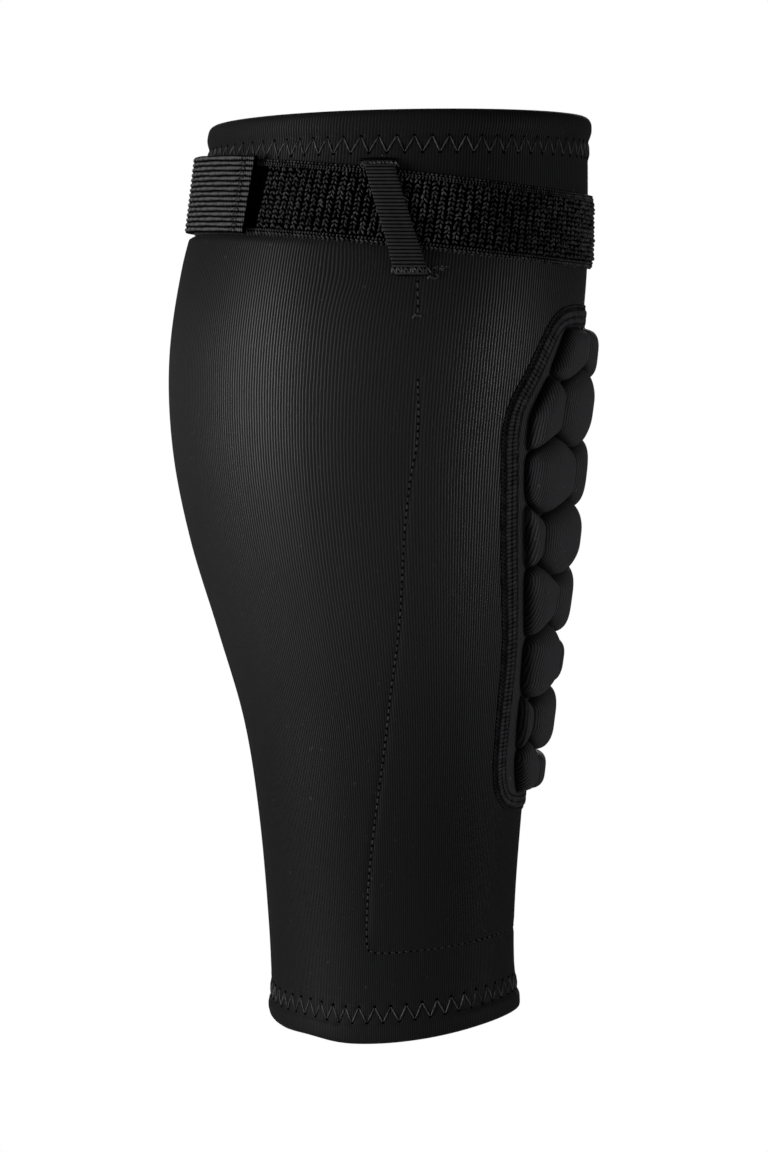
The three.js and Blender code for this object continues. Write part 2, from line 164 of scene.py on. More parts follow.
def along_leg(column, height):
    """Smooth curve through the measures of one column, read at a height."""
    last = len(leg_heights) - 1
    above = np.minimum(np.arange(last + 1) + 1, last)
    below = np.maximum(np.arange(last + 1) - 1, 0)
    slope = (column[above] - column[below]) / (leg_heights[above] - leg_heights[below])
    i = np.clip(np.searchsorted(leg_heights, height) - 1, 0, last - 1)
    span = leg_heights[i + 1] - leg_heights[i]
    t = np.clip((height - leg_heights[i]) / span, 0, 1)
    rise = column[i + 1] - column[i]
    leave = slope[i] * span - rise
    arrive = rise - slope[i + 1] * span
    return column[i] + t * rise + t * (1 - t) * ((1 - t) * leave + t * arrive)


def leg_oval(turn, height):
    """Half widths of the leg at a turn from the shin: across, front to back, and where it is widest."""
    shin = along_leg(leg_shin, height)
    calf = along_leg(leg_calf, height)
    side = along_leg(leg_side, height)
    widest = widest_share * (shin + calf) - shin
    reach = np.where(np.cos(turn) > 0, shin + widest, calf - widest)
    return side, reach, widest


def leg_radius(turn, height):
    side, reach, _ = leg_oval(turn, height)
    return (side + reach) / 2


def face_point(turn, height):
    side, reach, widest = leg_oval(turn, height)
    x = side * np.sin(turn)
    y = widest - reach * np.cos(turn)
    return np.stack(np.broadcast_arrays(x, y, height), -1)


def face_normal(turn, height):
    across = face_point(turn + 0.01, height) - face_point(turn - 0.01, height)
    up = face_point(turn, height + 1.0) - face_point(turn, height - 1.0)
    out = np.cross(across, up)
    return out / np.linalg.norm(out, axis=-1, keepdims=True)


def on_leg(turn, height, lift):
    lift = np.broadcast_to(lift, np.broadcast(turn, height).shape)
    return face_point(turn, height) + face_normal(turn, height) * lift[..., None]


sleeve_top = 308
neoprene = 3
hem_height = 14.5
hem_bulge = 1.4
hem_round = 3
edge_fade = 70
ankle_bump_turn = 2.05
ankle_bump_width = 0.26


def edge_wave(turn, shin, calf, side):
    ends = (shin + calf) / 2 + (shin - calf) / 2 * np.cos(turn)
    return ends + (side - (shin + calf) / 2) * np.sin(turn) ** 2


def half_turn(turn):
    return np.abs((turn + math.pi) % (2 * math.pi) - math.pi)


def sleeve_height(turn, level):
    """Height on the leg of a level of the sleeve, whose two ends are cut in a gentle wave."""
    lower = np.maximum(0, 1 - level / edge_fade) ** 2
    upper = np.maximum(0, 1 - (sleeve_top - level) / edge_fade) ** 2
    bump = np.exp(-((half_turn(turn) - ankle_bump_turn) / ankle_bump_width) ** 2)
    ankle_cut = edge_wave(turn, shin=4.4, calf=1.2, side=-2.6) + bump
    return level + ankle_cut * lower + edge_wave(turn, shin=2.2, calf=-0.6, side=1) * upper


strap_width = 25
strap_level = 278
strap_slope = 0.09
strap_bow = 1.7
calf_bite = 2.6


def strap_height(turn, offset):
    """Height on the leg at an offset up from the middle of the strap, which rises towards the calf."""
    slope = strap_slope * face_point(turn, strap_level)[..., 1]
    return strap_level + slope + strap_bow * np.sin(turn) ** 2 + offset


def strap_bite(turn):
    return calf_bite * (0.5 - 0.5 * np.cos(turn)) ** 2


back_seam = math.radians(-167)
top_zigzag = 11.4
top_zigzags = 75
top_zigzag_half = 2.7
top_hem_level = 296
bottom_zigzag = 9.9
bottom_zigzags = 53
bottom_zigzag_half = 2.65
bottom_hem_level = 20
dimple_spread = 0.9
low_dimple = 0.6
pocket_side = np.array([
    (-64.0, 253.5), (-62.9, 242.8), (-61.4, 221.5), (-60.4, 209), (-60.4, 200), (-61.8, 192), (-64, 172.5),
    (-65.8, 149), (-68.4, 132), (-72.2, 115), (-76, 94.5), (-80, 74), (-83.4, 53.5), (-84.6, 37),
])
pocket_foot = np.array([(-78, 28.4), (-60, 29.5), (-40, 31), (-15, 33), (0, 33.4)])
pocket_head = 254
pocket_heel = 36
pocket_break = (223, 240)
pocket_foot_end = 80
groove_width = 1.1


def pocket_groove(turn, height):
    """How near a place is to the stitched outline of the pad's pocket, from 1 on it to 0."""
    round_leg = half_turn(turn)
    line = np.radians(np.interp(-height, -pocket_side[:, 1], -pocket_side[:, 0]))
    beside = (round_leg - line) * leg_radius(turn, height)
    past = np.maximum(0, height - pocket_head) + np.maximum(0, pocket_heel - height)
    gap = np.where((height > pocket_break[0]) & (height < pocket_break[1]), 3, 0)
    near_side = np.exp(-(beside / groove_width) ** 2 - past ** 2 - gap)
    foot = np.interp(-np.degrees(round_leg), pocket_foot[:, 0], pocket_foot[:, 1])
    short = np.maximum(0, np.degrees(round_leg) - pocket_foot_end) / 2
    near_foot = np.exp(-((height - foot) / groove_width) ** 2 - short ** 2)
    return np.maximum(near_side, near_foot)


def tip_dimple(turn, below, count, half_height, level):
    """How near a place is to a tip of a hem's zigzag, from 1 at a needle hole to 0."""
    step = (turn - back_seam) * count / math.pi
    pace = leg_radius(turn, level) * math.pi / count
    lower = (step + 1) % 2 - 1
    upper = step % 2 - 1
    low_tip = np.exp(-((lower * pace) ** 2 + (below - half_height) ** 2) / dimple_spread)
    high_tip = np.exp(-((upper * pace) ** 2 + (below + half_height) ** 2) / dimple_spread)
    return low_tip * low_dimple + high_tip


def eased(share):
    return share * share * (3 - 2 * share)


shoulder_start = 4.6
shoulder_run = 4.2
shoulder_drop = 0.72
hem_foot = 15.4
hem_foot_run = 6.2
stitch_groove = 0.4
hem_groove = 0.2
hem_groove_width = 0.8
past_tips = 0.1
bed_foot = -15
bed_foot_run = 3
back_groove = 0.55
back_ridge = 0.2
back_ridge_at = 2.6
back_ridge_width = 1.3
crease_height = 76
crease_turn = math.radians(-74)
crease_depth = 0.16


def face_lift(turn, height):
    """How far the sleeve's own face stands out of the leg's smooth form: hems, strap bed and sewn grooves."""
    low = height - sleeve_height(turn, 0)
    high = sleeve_height(turn, sleeve_top) - height
    from_end = np.minimum(low, high)
    shoulder = 1 - shoulder_drop * eased(np.clip((from_end - shoulder_start) / shoulder_run, 0, 1))
    lift = hem_bulge * shoulder * np.clip((hem_foot - from_end) / hem_foot_run, 0, 1)
    for below, count, half_height, level, towards_edge in (
        (high - top_zigzag, top_zigzags, top_zigzag_half, top_hem_level, -1),
        (bottom_zigzag - low, bottom_zigzags, bottom_zigzag_half, bottom_hem_level, 1),
    ):
        lift = lift - stitch_groove * tip_dimple(turn, below, count, half_height, level)
        from_groove = below - towards_edge * (half_height + past_tips)
        lift = lift - hem_groove * np.exp(-(from_groove / hem_groove_width) ** 2)
    rise = np.clip((height - strap_height(turn, bed_foot)) / bed_foot_run, 0, 1)
    bed_top = sleeve_height(turn, sleeve_top - hem_height)
    fall = np.clip((bed_top - height) / (bed_top - strap_height(turn, 0)), 0, 1)
    lift = lift - strap_bite(turn) * eased(np.minimum(rise, fall))
    lift = lift - stitch_groove * pocket_groove(turn, height)
    from_seam = ((turn - back_seam + math.pi) % (2 * math.pi) - math.pi) * leg_radius(turn, height)
    lift = lift - back_groove * np.exp(-from_seam ** 2)
    lift = lift + back_ridge * np.exp(-((np.abs(from_seam) - back_ridge_at) / back_ridge_width) ** 2)
    creased = np.exp(-((height - crease_height) / 9) ** 2 - ((turn - crease_turn) / 0.36) ** 2)
    return lift + crease_depth * creased * np.sin(height / 1.5 + 2.4 * turn)


def flat_grid(name, columns, rows):
    """A grid to be laid over the leg, and the column and row of each of its points."""
    bpy.ops.object.select_all(action="DESELECT")
    bpy.ops.mesh.primitive_grid_add(x_subdivisions=columns, y_subdivisions=rows, size=2)
    piece = bpy.context.object
    piece.name = name
    piece.data.name = name
    flat = np.empty(len(piece.data.vertices) * 3)
    piece.data.vertices.foreach_get("co", flat)
    places = (flat.reshape(-1, 3)[:, :2] + 1) / 2
    column, row = np.rint(places * (columns, rows)).astype(int).T
    return piece, column, row


def lay(piece, points, cloth):
    """Moves the grid's points to their places and keeps their places on the flat cloth as its UV map."""
    piece.data.vertices.foreach_set("co", (points * MM).ravel())
    corners = np.empty(len(piece.data.loops), int)
    piece.data.loops.foreach_get("vertex_index", corners)
    piece.data.uv_layers[0].data.foreach_set("uv", cloth[corners].ravel())
    piece.data.update()


def close_edges(piece, fill=False, face_out=False):
    """Joins the edges that have met, closes any open end, and shades the piece smooth."""
    bpy.context.view_layer.objects.active = piece
    bpy.ops.object.mode_set(mode="EDIT")
    bpy.ops.mesh.select_mode(type="VERT")
    bpy.ops.mesh.select_all(action="SELECT")
    bpy.ops.mesh.remove_doubles(threshold=1e-6)
    if fill:
        bpy.ops.mesh.select_all(action="DESELECT")
        bpy.ops.mesh.select_non_manifold(extend=False)
        bpy.ops.mesh.fill_holes(sides=0)
        bpy.ops.mesh.select_all(action="SELECT")
    if fill or face_out:
        bpy.ops.mesh.normals_make_consistent(inside=False)
    bpy.ops.object.mode_set(mode="OBJECT")
    bpy.ops.object.shade_smooth()


around = 6 * top_zigzags
turns = back_seam + np.linspace(0, 2 * math.pi, around + 1)
row_heights = []
row_lifts = []


def add_row(height, lift):
    row_heights.append(np.broadcast_to(height, turns.shape))
    row_lifts.append(np.broadcast_to(lift, turns.shape))


def add_face_row(height):
    add_row(height, face_lift(turns, height))


def add_rows_between(first, last):
    for share in np.linspace(0, 1, 7)[1:]:
        add_face_row(first + (last - first) * share)


fold_middle = hem_bulge - hem_round
rim_squareness = 0.7


def add_ankle_rim(angle):
    """A row round the folded rim at the ankle, which is pressed squarer than the one at the top."""
    out = math.copysign(abs(math.cos(angle)) ** rim_squareness, math.cos(angle))
    down = math.sin(angle) ** rim_squareness
    add_row(sleeve_height(turns, hem_round - hem_round * down), fold_middle + hem_round * out)


hem_zone = 16
hem_rows = 18
body_top = strap_level - 30
body_rows = 108
bed_start = -16
lining_rows = 18
for angle in np.radians(np.arange(90, 0, -15)):
    add_ankle_rim(angle)
for level in np.linspace(hem_round, hem_zone, hem_rows):
    add_face_row(sleeve_height(turns, level))
for level in np.linspace(hem_zone, body_top, body_rows)[1:]:
    add_face_row(sleeve_height(turns, level))
add_rows_between(sleeve_height(turns, body_top), strap_height(turns, bed_start))
for offset in np.concatenate([np.linspace(-15.5, -11.5, 6), np.linspace(-9, 0, 4)]):
    add_face_row(strap_height(turns, offset))
add_rows_between(strap_height(turns, 0), sleeve_height(turns, sleeve_top - hem_zone))
for level in np.linspace(sleeve_top - hem_zone, sleeve_top - hem_round, hem_rows)[1:]:
    add_face_row(sleeve_height(turns, level))
for angle in np.radians(np.arange(15, 181, 15)):
    level = sleeve_top - hem_round + hem_round * math.sin(angle)
    add_row(sleeve_height(turns, level), fold_middle + hem_round * math.cos(angle))
hem_inside = fold_middle - hem_round
hem_edge = (hem_inside - neoprene) / 2
add_row(sleeve_height(turns, sleeve_top - 11.6), hem_inside)
add_row(sleeve_height(turns, sleeve_top - 13), hem_edge)
add_row(sleeve_height(turns, sleeve_top - hem_height), -neoprene)
for offset in (0, -6, -11.5, -15.5):
    bite = strap_bite(turns) if offset > bed_foot else 0
    add_row(strap_height(turns, offset), -neoprene - bite)
for level in np.linspace(body_top, hem_height, lining_rows):
    add_row(sleeve_height(turns, level), -neoprene)
add_row(sleeve_height(turns, 13), hem_edge)
add_row(sleeve_height(turns, 11.6), hem_inside)
add_row(sleeve_height(turns, 7), hem_inside)
for angle in np.radians(np.arange(165, 89, -15)):
    add_ankle_rim(angle)
row_heights = np.array(row_heights)
row_lifts = np.array(row_lifts)

wales = 400
courses_per_mm = 2.4
tacked_turn = math.radians(-80)
tacked_height = 256
tack_pull = 1.5
sleeve, column, row = flat_grid("sleeve_neoprene", around, len(row_heights) - 1)
heights = row_heights[row, column]
pulled = np.exp(-((turns[column] - tacked_turn) / 0.13) ** 2 - ((heights - tacked_height) / 9) ** 2)
lay(
    sleeve,
    on_leg(turns[column], heights, row_lifts[row, column]),
    np.stack([column / around * wales - tack_pull * pulled, heights * courses_per_mm], -1),
)
close_edges(sleeve)


def noise(tree, scale, detail):
    """Noise that stays with the piece."""
    place = add_node(tree, "ShaderNodeTexCoord").outputs["Object"]
    grain = {"Vector": place, "Scale": scale, "Detail": detail}
    return add_node(tree, "ShaderNodeTexNoise", grain).outputs["Fac"]


def marked(tree, attribute):
    return add_node(tree, "ShaderNodeAttribute", attribute_name=attribute).outputs["Fac"]


def flat_places(tree):
    """Places across and along the flat cloth, from the piece's own UV map."""
    flat = add_node(tree, "ShaderNodeUVMap", uv_map="UVMap").outputs["UV"]
    parts = add_node(tree, "ShaderNodeSeparateXYZ", {0: flat})
    return parts.outputs["X"], parts.outputs["Y"]


def rounded_ribs(tree, number):
    """Rounded ribs, one for each whole number."""
    wave = maths(tree, "SINE", maths(tree, "MULTIPLY", number, math.pi))
    return maths(tree, "ABSOLUTE", wave)


def dark_to_light(tree, value, low, dark, high, light):
    tone = add_node(tree, "ShaderNodeValToRGB", {"Fac": value})
    for stop, position, colour in zip(tone.color_ramp.elements, (low, high), (dark, light)):
        stop.position = position
        stop.color = (*colour, 1)
    return tone.outputs["Color"]


def dress(tree, colour, roughness, shine, height, strength, relief):
    """Joins a cloth's colour, gloss and raised weave to its shader."""
    bump = add_node(tree, "ShaderNodeBump", {"Height": height, "Strength": strength, "Distance": relief})
    shader = tree.nodes["Principled BSDF"]
    join(tree, shader, {"Base Color": colour, "Roughness": roughness, "Specular IOR Level": shine})
    join(tree, shader, {"Normal": bump.outputs["Normal"]})
    return shader


def knit_material(name, dark, light, roughness, relief, shine, taut_between, moulded=False):
    """Fine jersey of upright wales. Taut, its wales stand out and shine, with paler colour as painted sheen.

    Moulded cloth is smooth on the crowns of its cells; painted shade darkens its creases, by two attributes.
    """
    material, tree = new_material(name)
    place = add_node(tree, "ShaderNodeTexCoord").outputs["Object"]
    up = add_node(tree, "ShaderNodeSeparateXYZ", {0: place}).outputs["Z"]
    slack_low, taut_low, taut_high, slack_high = taut_between
    rise = ranged(tree, up, slack_low, taut_low, ease="SMOOTHSTEP")
    fall = ranged(tree, up, slack_high, taut_high, ease="SMOOTHSTEP")
    taut_sheen = maths(tree, "MULTIPLY", rise, fall)
    across, along = flat_places(tree)
    wander = maths(tree, "MULTIPLY", noise(tree, 200.0, 2.0), 0.3)
    wale = rounded_ribs(tree, maths(tree, "ADD", across, wander))
    crest = maths(tree, "POWER", wale, 4.0)
    course = maths(tree, "SINE", maths(tree, "MULTIPLY", along, 2 * math.pi))
    knitted = maths(tree, "MULTIPLY_ADD", course, 0.05, crest)
    # In the taut band the wale crests stand higher and show brighter in the colour, partly as painted sheen.
    standing = maths(tree, "MULTIPLY_ADD", taut_sheen, 0.75, 0.25)
    weave = maths(tree, "MULTIPLY", knitted, standing)
    if moulded:
        weave = add_node(tree, "ShaderNodeMix", {0: marked(tree, "crown"), 2: weave, 3: 0.4}).outputs[0]
    flecked = maths(tree, "MULTIPLY_ADD", noise(tree, 1500.0, 1.0), 0.5, weave)
    worn = maths(tree, "MULTIPLY_ADD", noise(tree, 16.0, 3.0), 0.3, flecked)
    # Painted sheen: the colour is made paler in the taut band, where the highlight falls on the calf.
    tone_with_painted_sheen = maths(tree, "MULTIPLY_ADD", taut_sheen, 0.3, worn)
    lint = ranged(tree, noise(tree, 620.0, 0.0), 0.8, 0.86)
    depth = ranged(tree, maths(tree, "ADD", tone_with_painted_sheen, lint), 0.66, 1.7)
    colour = dark_to_light(tree, depth, 0.0, dark, 1.0, light)
    if moulded:
        # Painted shade: the colour is darkened in the creases between the pad's cells, where shade falls.
        unshaded_share = maths(tree, "SUBTRACT", 1.0, marked(tree, "crease"))
        shaded = add_node(tree, "ShaderNodeVectorMath", {0: colour}, operation="SCALE")
        join(tree, shaded, {"Scale": unshaded_share})
        colour = shaded.outputs["Vector"]
    gloss = ranged(tree, crest, 0.0, 1.0, roughness + 0.85, roughness + 0.27)
    matt = maths(tree, "MULTIPLY_ADD", taut_sheen, -0.27, gloss)
    shader = dress(tree, colour, matt, shine, flecked, 1.0, relief)
    join(tree, shader, {"Sheen Weight": 0.02, "Sheen Roughness": 0.35})
    return material


# Heights of the taut band, where the sleeve's wales shine and its colour is paler as painted sheen.
calf_taut = (0.05, 0.165, 0.225, 0.285)
neoprene_face = knit_material(
    "neoprene_face", (0.001, 0.001, 0.0011), (0.044, 0.0429, 0.0468), 0.31, 0.00006, 0.85, calf_taut
)
sleeve.data.materials.append(neoprene_face)
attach(sleeve, "root")
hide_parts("sleeve")


# Hem stitches. A zigzag of black polyester thread holds each folded hem, 75 zigzags round the top and 53
# round the ankle. Each thread dives into a needle hole at both of its ends.
def modelled_stitch(name, droop):
    """One thread between two needle holes, 1 long, 1 wide and 1 high, whose ends droop into the cloth."""
    bpy.ops.object.select_all(action="DESELECT")
    bpy.ops.mesh.primitive_uv_sphere_add(segments=6, ring_count=5, radius=0.5)
    stitch = bpy.context.object
    stitch.name = name
    bpy.ops.object.mode_set(mode="EDIT")
    bpy.ops.transform.rotate(value=math.pi / 2, orient_axis="Y", center_override=(0, 0, 0))
    bpy.ops.object.mode_set(mode="OBJECT")
    for point in stitch.data.vertices:
        reach = 2 * abs(point.co.x)
        point.co.x = math.copysign(0.5 * min(1.0, reach) ** 0.8, point.co.x)
        point.co.z -= droop * reach ** 3
    return stitch


def copies(name, unit, middles, alongs, outwards, sizes, material):
    """Copies a modelled unit to every place, sized (long, wide, high), and joins the copies."""
    unit_points = np.array([point.co[:] for point in unit.data.vertices])
    unit_faces = [np.array(face.vertices[:]) for face in unit.data.polygons]
    ahead = alongs / np.linalg.norm(alongs, axis=1, keepdims=True)
    out = outwards - ahead * (outwards * ahead).sum(1, keepdims=True)
    out = out / np.linalg.norm(out, axis=1, keepdims=True)
    sizes = np.broadcast_to(sizes, middles.shape)
    axes = np.stack([ahead, np.cross(out, ahead), out], 1) * sizes[:, :, None]
    points = middles[:, None, :] + unit_points @ axes
    starts = np.arange(len(middles)) * len(unit_points)
    faces = [tuple(face + start) for start in starts for face in unit_faces]
    mesh = bpy.data.meshes.new(name)
    mesh.from_pydata((points.reshape(-1, 3) * MM).tolist(), [], faces)
    mesh.polygons.foreach_set("use_smooth", np.ones(len(mesh.polygons), bool))
    mesh.materials.append(material)
    piece = bpy.data.objects.new(name, mesh)
    bpy.context.collection.objects.link(piece)
    return piece


def drop(unit):
    bpy.data.objects.remove(unit, do_unlink=True)


def on_face(places, lift):
    """Points lifted off the sleeve's own face at places (turn, height)."""
    turn, height = places.T
    return on_leg(turn, height, face_lift(turn, height) + lift)


def thread_between(starts, ends, lift):
    """Middles, directions, outward sides and lengths of threads between places (turn, height)."""
    middle = (starts + ends) / 2
    run = on_face(ends, lift) - on_face(starts, lift)
    return on_face(middle, lift), run, face_normal(*middle.T), np.linalg.norm(run, axis=1)


def thread_sizes(lengths, wide, high):
    return np.stack([lengths, np.full_like(lengths, wide), np.full_like(lengths, high)], -1)


def zigzag(count, from_edge, half_height, top):
    """Places of the tips of a zigzag round the sleeve, as (turn, height)."""
    step = np.arange(2 * count + 1)
    turn = back_seam + step * math.pi / count
    swing = np.where(step % 2 == 0, -half_height, half_height)
    if top:
        height = sleeve_height(turn, sleeve_top) - from_edge + swing
    else:
        height = sleeve_height(turn, 0) + from_edge + swing
    return np.stack([turn, height], -1)


def thread_material(name, dark, light, roughness, shine=0.5):
    """Twisted polyester thread with a slight gloss; made near-black, also the painted shade of holes and
    ends.
    """
    material, tree = new_material(name)
    fibre = noise(tree, 2600.0, 2.0)
    patch = noise(tree, 330.0, 1.0)
    colour = dark_to_light(tree, maths(tree, "MULTIPLY", patch, fibre), 0.12, dark, 0.42, light)
    gloss = ranged(tree, fibre, 0.0, 1.0, roughness + 0.15, roughness - 0.1)
    dress(tree, colour, gloss, shine, fibre, 0.6, 0.0001)
    return material


# Painted highlight: the black thread is given a light grey tone that stands in for its glossy highlights.
stitch_thread = thread_material("stitch_thread", (0.03, 0.03, 0.031), (0.27, 0.27, 0.274), 0.34)
# Painted shade: near-black marks at the needle holes stand in for the shade inside each hole.
needle_hole_shade = thread_material("needle_hole", (0.0005, 0.0005, 0.0005), (0.0012, 0.0012, 0.0012), 0.9, 0.02)
tips = np.concatenate([
    zigzag(top_zigzags, top_zigzag, top_zigzag_half, True),
    zigzag(bottom_zigzags, bottom_zigzag, bottom_zigzag_half, False),
])
joined = np.ones(len(tips) - 1, bool)
joined[2 * top_zigzags] = False
stitch = modelled_stitch("stitch", 0.55)
middles, runs, outs, lengths = thread_between(tips[:-1][joined], tips[1:][joined], 0.12)
sizes = thread_sizes(lengths * 0.98, 0.46, 0.55)
hem_stitches = copies("hem_stitches", stitch, middles, runs, outs, sizes, stitch_thread)
hole_across = (0.004, 0)
middles, runs, outs, _ = thread_between(tips - hole_across, tips + hole_across, 0.15)
# Near-black painted shade at the zigzag's needle holes.
hem_holes = copies("hem_needle_holes", stitch, middles, runs, outs, (1.05, 1.15, 0.5), needle_hole_shade)
for piece in (hem_stitches, hem_holes):
    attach(piece, "root")


# Pocket and back stitches. A single line of lock stitch, 2.4 mm a stitch, outlines the lining that holds the
# pad, down both sides and round the front of the ankle. The tube's back seam has short slanting stitches.
lock_stitch = 2.4


def smooth_line(points, rounds):
    """Cuts the corners of a line until it runs smooth, keeping its two ends."""
    for _ in range(rounds):
        first = points[:-1] * 0.75 + points[1:] * 0.25
        second = points[:-1] * 0.25 + points[1:] * 0.75
        cut = np.stack([first, second], 1).reshape(-1, 2)
        points = np.concatenate([points[:1], cut, points[-1:]])
    return points


def distances(points):
    """How far each point of a line is along it."""
    return np.concatenate([[0], np.cumsum(np.linalg.norm(np.diff(points, axis=0), axis=1))])


def read_line(line, run, stops):
    """Places on a line at stops, where its own points are at run."""
    return np.stack([np.interp(stops, run, line[:, k]) for k in (0, 1)], -1)


def even_places(line, pitch):
    """Places (turn, height) a pitch apart along a line on the sleeve."""
    fine = read_line(line, np.linspace(0, 1, len(line)), np.linspace(0, 1, 4000))
    run = distances(face_point(*fine.T))
    count = max(2, int(round(run[-1] / pitch)))
    return read_line(fine, run, np.linspace(0, run[-1], count + 1))


def in_radians(line):
    return line * (math.radians(1), 1)


def mirrored(line):
    return line * (-1, 1)


pocket_top = in_radians(pocket_side[:2])
pocket_corner = [(-84.8, 31.5), (-84.0, 28.6)]
outline_side = smooth_line(in_radians(np.concatenate([pocket_side[2:], pocket_corner, pocket_foot])), 3)
pocket_lines = [pocket_top, mirrored(pocket_top), outline_side, mirrored(outline_side)]
pocket_places = [even_places(line, lock_stitch) for line in pocket_lines]
starts = np.concatenate([places[:-1] for places in pocket_places])
ends = np.concatenate([places[1:] for places in pocket_places])
middles, runs, outs, lengths = thread_between(starts, ends, 0.08)
sizes = thread_sizes(lengths * 0.78, 0.6, 0.5)
pocket_thread = thread_material("pocket_thread", (0.016, 0.016, 0.0164), (0.13, 0.13, 0.132), 0.45)
pocket_stitches = copies("pocket_stitches", stitch, middles, runs, outs, sizes, pocket_thread)
holes = np.concatenate(pocket_places)
hole_up = (0, 0.4)
middles, runs, outs, _ = thread_between(holes - hole_up, holes + hole_up, 0.1)
# Near-black painted shade at the pocket line's needle holes.
pocket_holes = copies("pocket_needle_holes", stitch, middles, runs, outs, (0.75, 0.8, 0.45), needle_hole_shade)
seam_places = even_places(np.array([(back_seam, 16), (back_seam, 262)]), lock_stitch)
slant = (1.1 / 60, 0.5)
middles, runs, outs, lengths = thread_between(seam_places - slant, seam_places + slant, 0.25)
sizes = thread_sizes(lengths, 0.5, 0.5)
back_stitches = copies("back_seam_stitches", stitch, middles, runs, outs, sizes, stitch_thread)
for piece in (pocket_stitches, pocket_holes, back_stitches):
    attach(piece, "root")


# Pad cover. One panel of the same fine knit, moulded over eight staggered rows of foam cells on the shin.
# The cloth is stretched over every cell and pressed flat in the valleys between them.
seam_width = 7.2
seam_narrowing = 0.2
seam_full_height = 150
seam_narrow_height = 95
cell_gap = 0.45
cell_margin = 1.9
row_zigzag = 3.4
corner_power = 9
cell_full_width = 12
panel_lift = 0.9
least_crown = 1.7
dome_flatness = 3.6
dome_fall = 0.47
crease_shade_width = 0.65
pad_outline = np.array([
    (9, 75), (15, 77.3), (19, 82.3), (21.3, 90), (23, 106), (25.4, 129), (33.5, 165.5), (37.6, 189),
    (39.6, 202), (39.6, 209.5), (38, 215.5), (32.8, 225.2), (26.7, 236.5), (22.6, 242), (16, 245.3),
])
cell_rows = [
    (240, 239, 6.4, [-1.5]),
    (223.5, 223.5, 7.6, [-17, 15]),
    (200.5, 197, 7.8, [-1]),
    (179, 180.5, 8.6, [-19, 17]),
    (157.5, 157.5, 8.0, [-6]),
    (137.5, 134.2, 8.3, [5]),
    (116, 115.5, 7.8, [-9]),
    (97.5, 95, 6.6, [-0.5]),
]
cells_bottom = 81


def closed_curve(corners, steps):
    """Smooth closed curve through the corners, as points an even distance apart, and its length."""
    before, after, beyond = (np.roll(corners, k, axis=0) for k in (1, -1, -2))

    def reach(a, b):
        return np.linalg.norm(b - a, axis=1)[:, None] ** 0.5

    behind, ahead, further = reach(before, corners), reach(corners, after), reach(after, beyond)
    leave = (corners - before) / behind - (after - before) / (behind + ahead) + (after - corners) / ahead
    arrive = (after - corners) / ahead - (beyond - corners) / (ahead + further) + (beyond - after) / further
    t = np.linspace(0, 1, 40, endpoint=False)[None, :, None]
    a, b, m, n = (part[:, None] for part in (corners, after, leave * ahead, arrive * ahead))
    curve = a + m * t + (3 * (b - a) - 2 * m - n) * t ** 2 + (2 * (a - b) + m + n) * t ** 3
    curve = curve.reshape(-1, 2)
    curve = np.concatenate([curve, curve[:1]])
    run = distances(curve)
    return read_line(curve, run, np.linspace(0, run[-1], steps + 1)), run[-1]


def narrowing(height):
    """Share by which the seam is narrower at a height, growing towards the ankle."""
    down = (seam_full_height - height) / (seam_full_height - seam_narrow_height)
    return seam_narrowing * np.clip(down, 0, 1)


def inset(curve, distance):
    """The closed curve moved inwards by a distance across the seam."""
    tangent = np.roll(curve[:-1], -1, axis=0) - np.roll(curve[:-1], 1, axis=0)
    tangent = tangent / np.linalg.norm(tangent, axis=1, keepdims=True)
    tangent = np.concatenate([tangent, tangent[:1]])
    inwards = np.stack([-tangent[:, 1], tangent[:, 0]], -1)
    return curve + (distance * (1 - narrowing(curve[:, 1])))[:, None] * inwards


def face_pace(turn, height):
    """How far the leg's face runs across for each radian of turn."""
    side, reach, _ = leg_oval(turn, height)
    return np.hypot(side * np.cos(turn), reach * np.sin(turn))


def turn_across(across, height):
    """Turn at which the leg's face has run a distance across from the shin line."""
    nodes, weights = np.polynomial.legendre.leggauss(8)
    turn = across / 55.0
    for _ in range(4):
        stops = turn[..., None] * (nodes + 1) / 2
        run = turn / 2 * (face_pace(stops, height[..., None]) * weights).sum(-1)
        turn = turn - (run - across) / face_pace(turn, height)
    return turn


def on_pad(places, lift):
    return on_leg(turn_across(places[:, 0], places[:, 1]), places[:, 1], lift)


outline_steps = 840
right_side = np.concatenate([[(0, 74.2)], pad_outline, [(0, 246.3)]])
left_side = mirrored(pad_outline)[::-1]
outline, outline_length = closed_curve(np.concatenate([right_side, left_side]), outline_steps)


def panel_half(height, distance):
    """Half width at a height of the panel inside the outline moved in by a distance."""
    edge = inset(outline, distance)[:outline_steps // 2 + 1]
    order = np.argsort(edge[:, 1])
    return np.interp(height, edge[order, 1], edge[order, 0])


cells_inset = seam_width + 0.35


def cell_reach(height):
    """Half width at a height of the field of cells, which keeps clear of the seam."""
    return panel_half(height, cells_inset) - cell_margin - narrowing(height) * cells_inset


cells_edge = inset(outline, cells_inset)
panel_bottom = cells_edge[:, 1].min() + 0.4
panel_top = cells_edge[:, 1].max() - 0.4
line_margin = 2


def row_line(i):
    """Zigzag line between two rows of cells, from the left edge of the pad to the right."""
    last = len(cell_rows)
    top, ends = cell_rows[i][:2] if i < last else (cells_bottom, cells_bottom)
    reach = cell_reach(np.clip(ends, panel_bottom + line_margin, panel_top - line_margin))
    points = [(-reach, ends), (reach, ends)]
    if 0 < i < last:
        points += [(valley, top + row_zigzag) for valley in cell_rows[i - 1][3]]
        points += [(valley, top - row_zigzag) for valley in cell_rows[i][3]]
    return np.array(sorted(points))


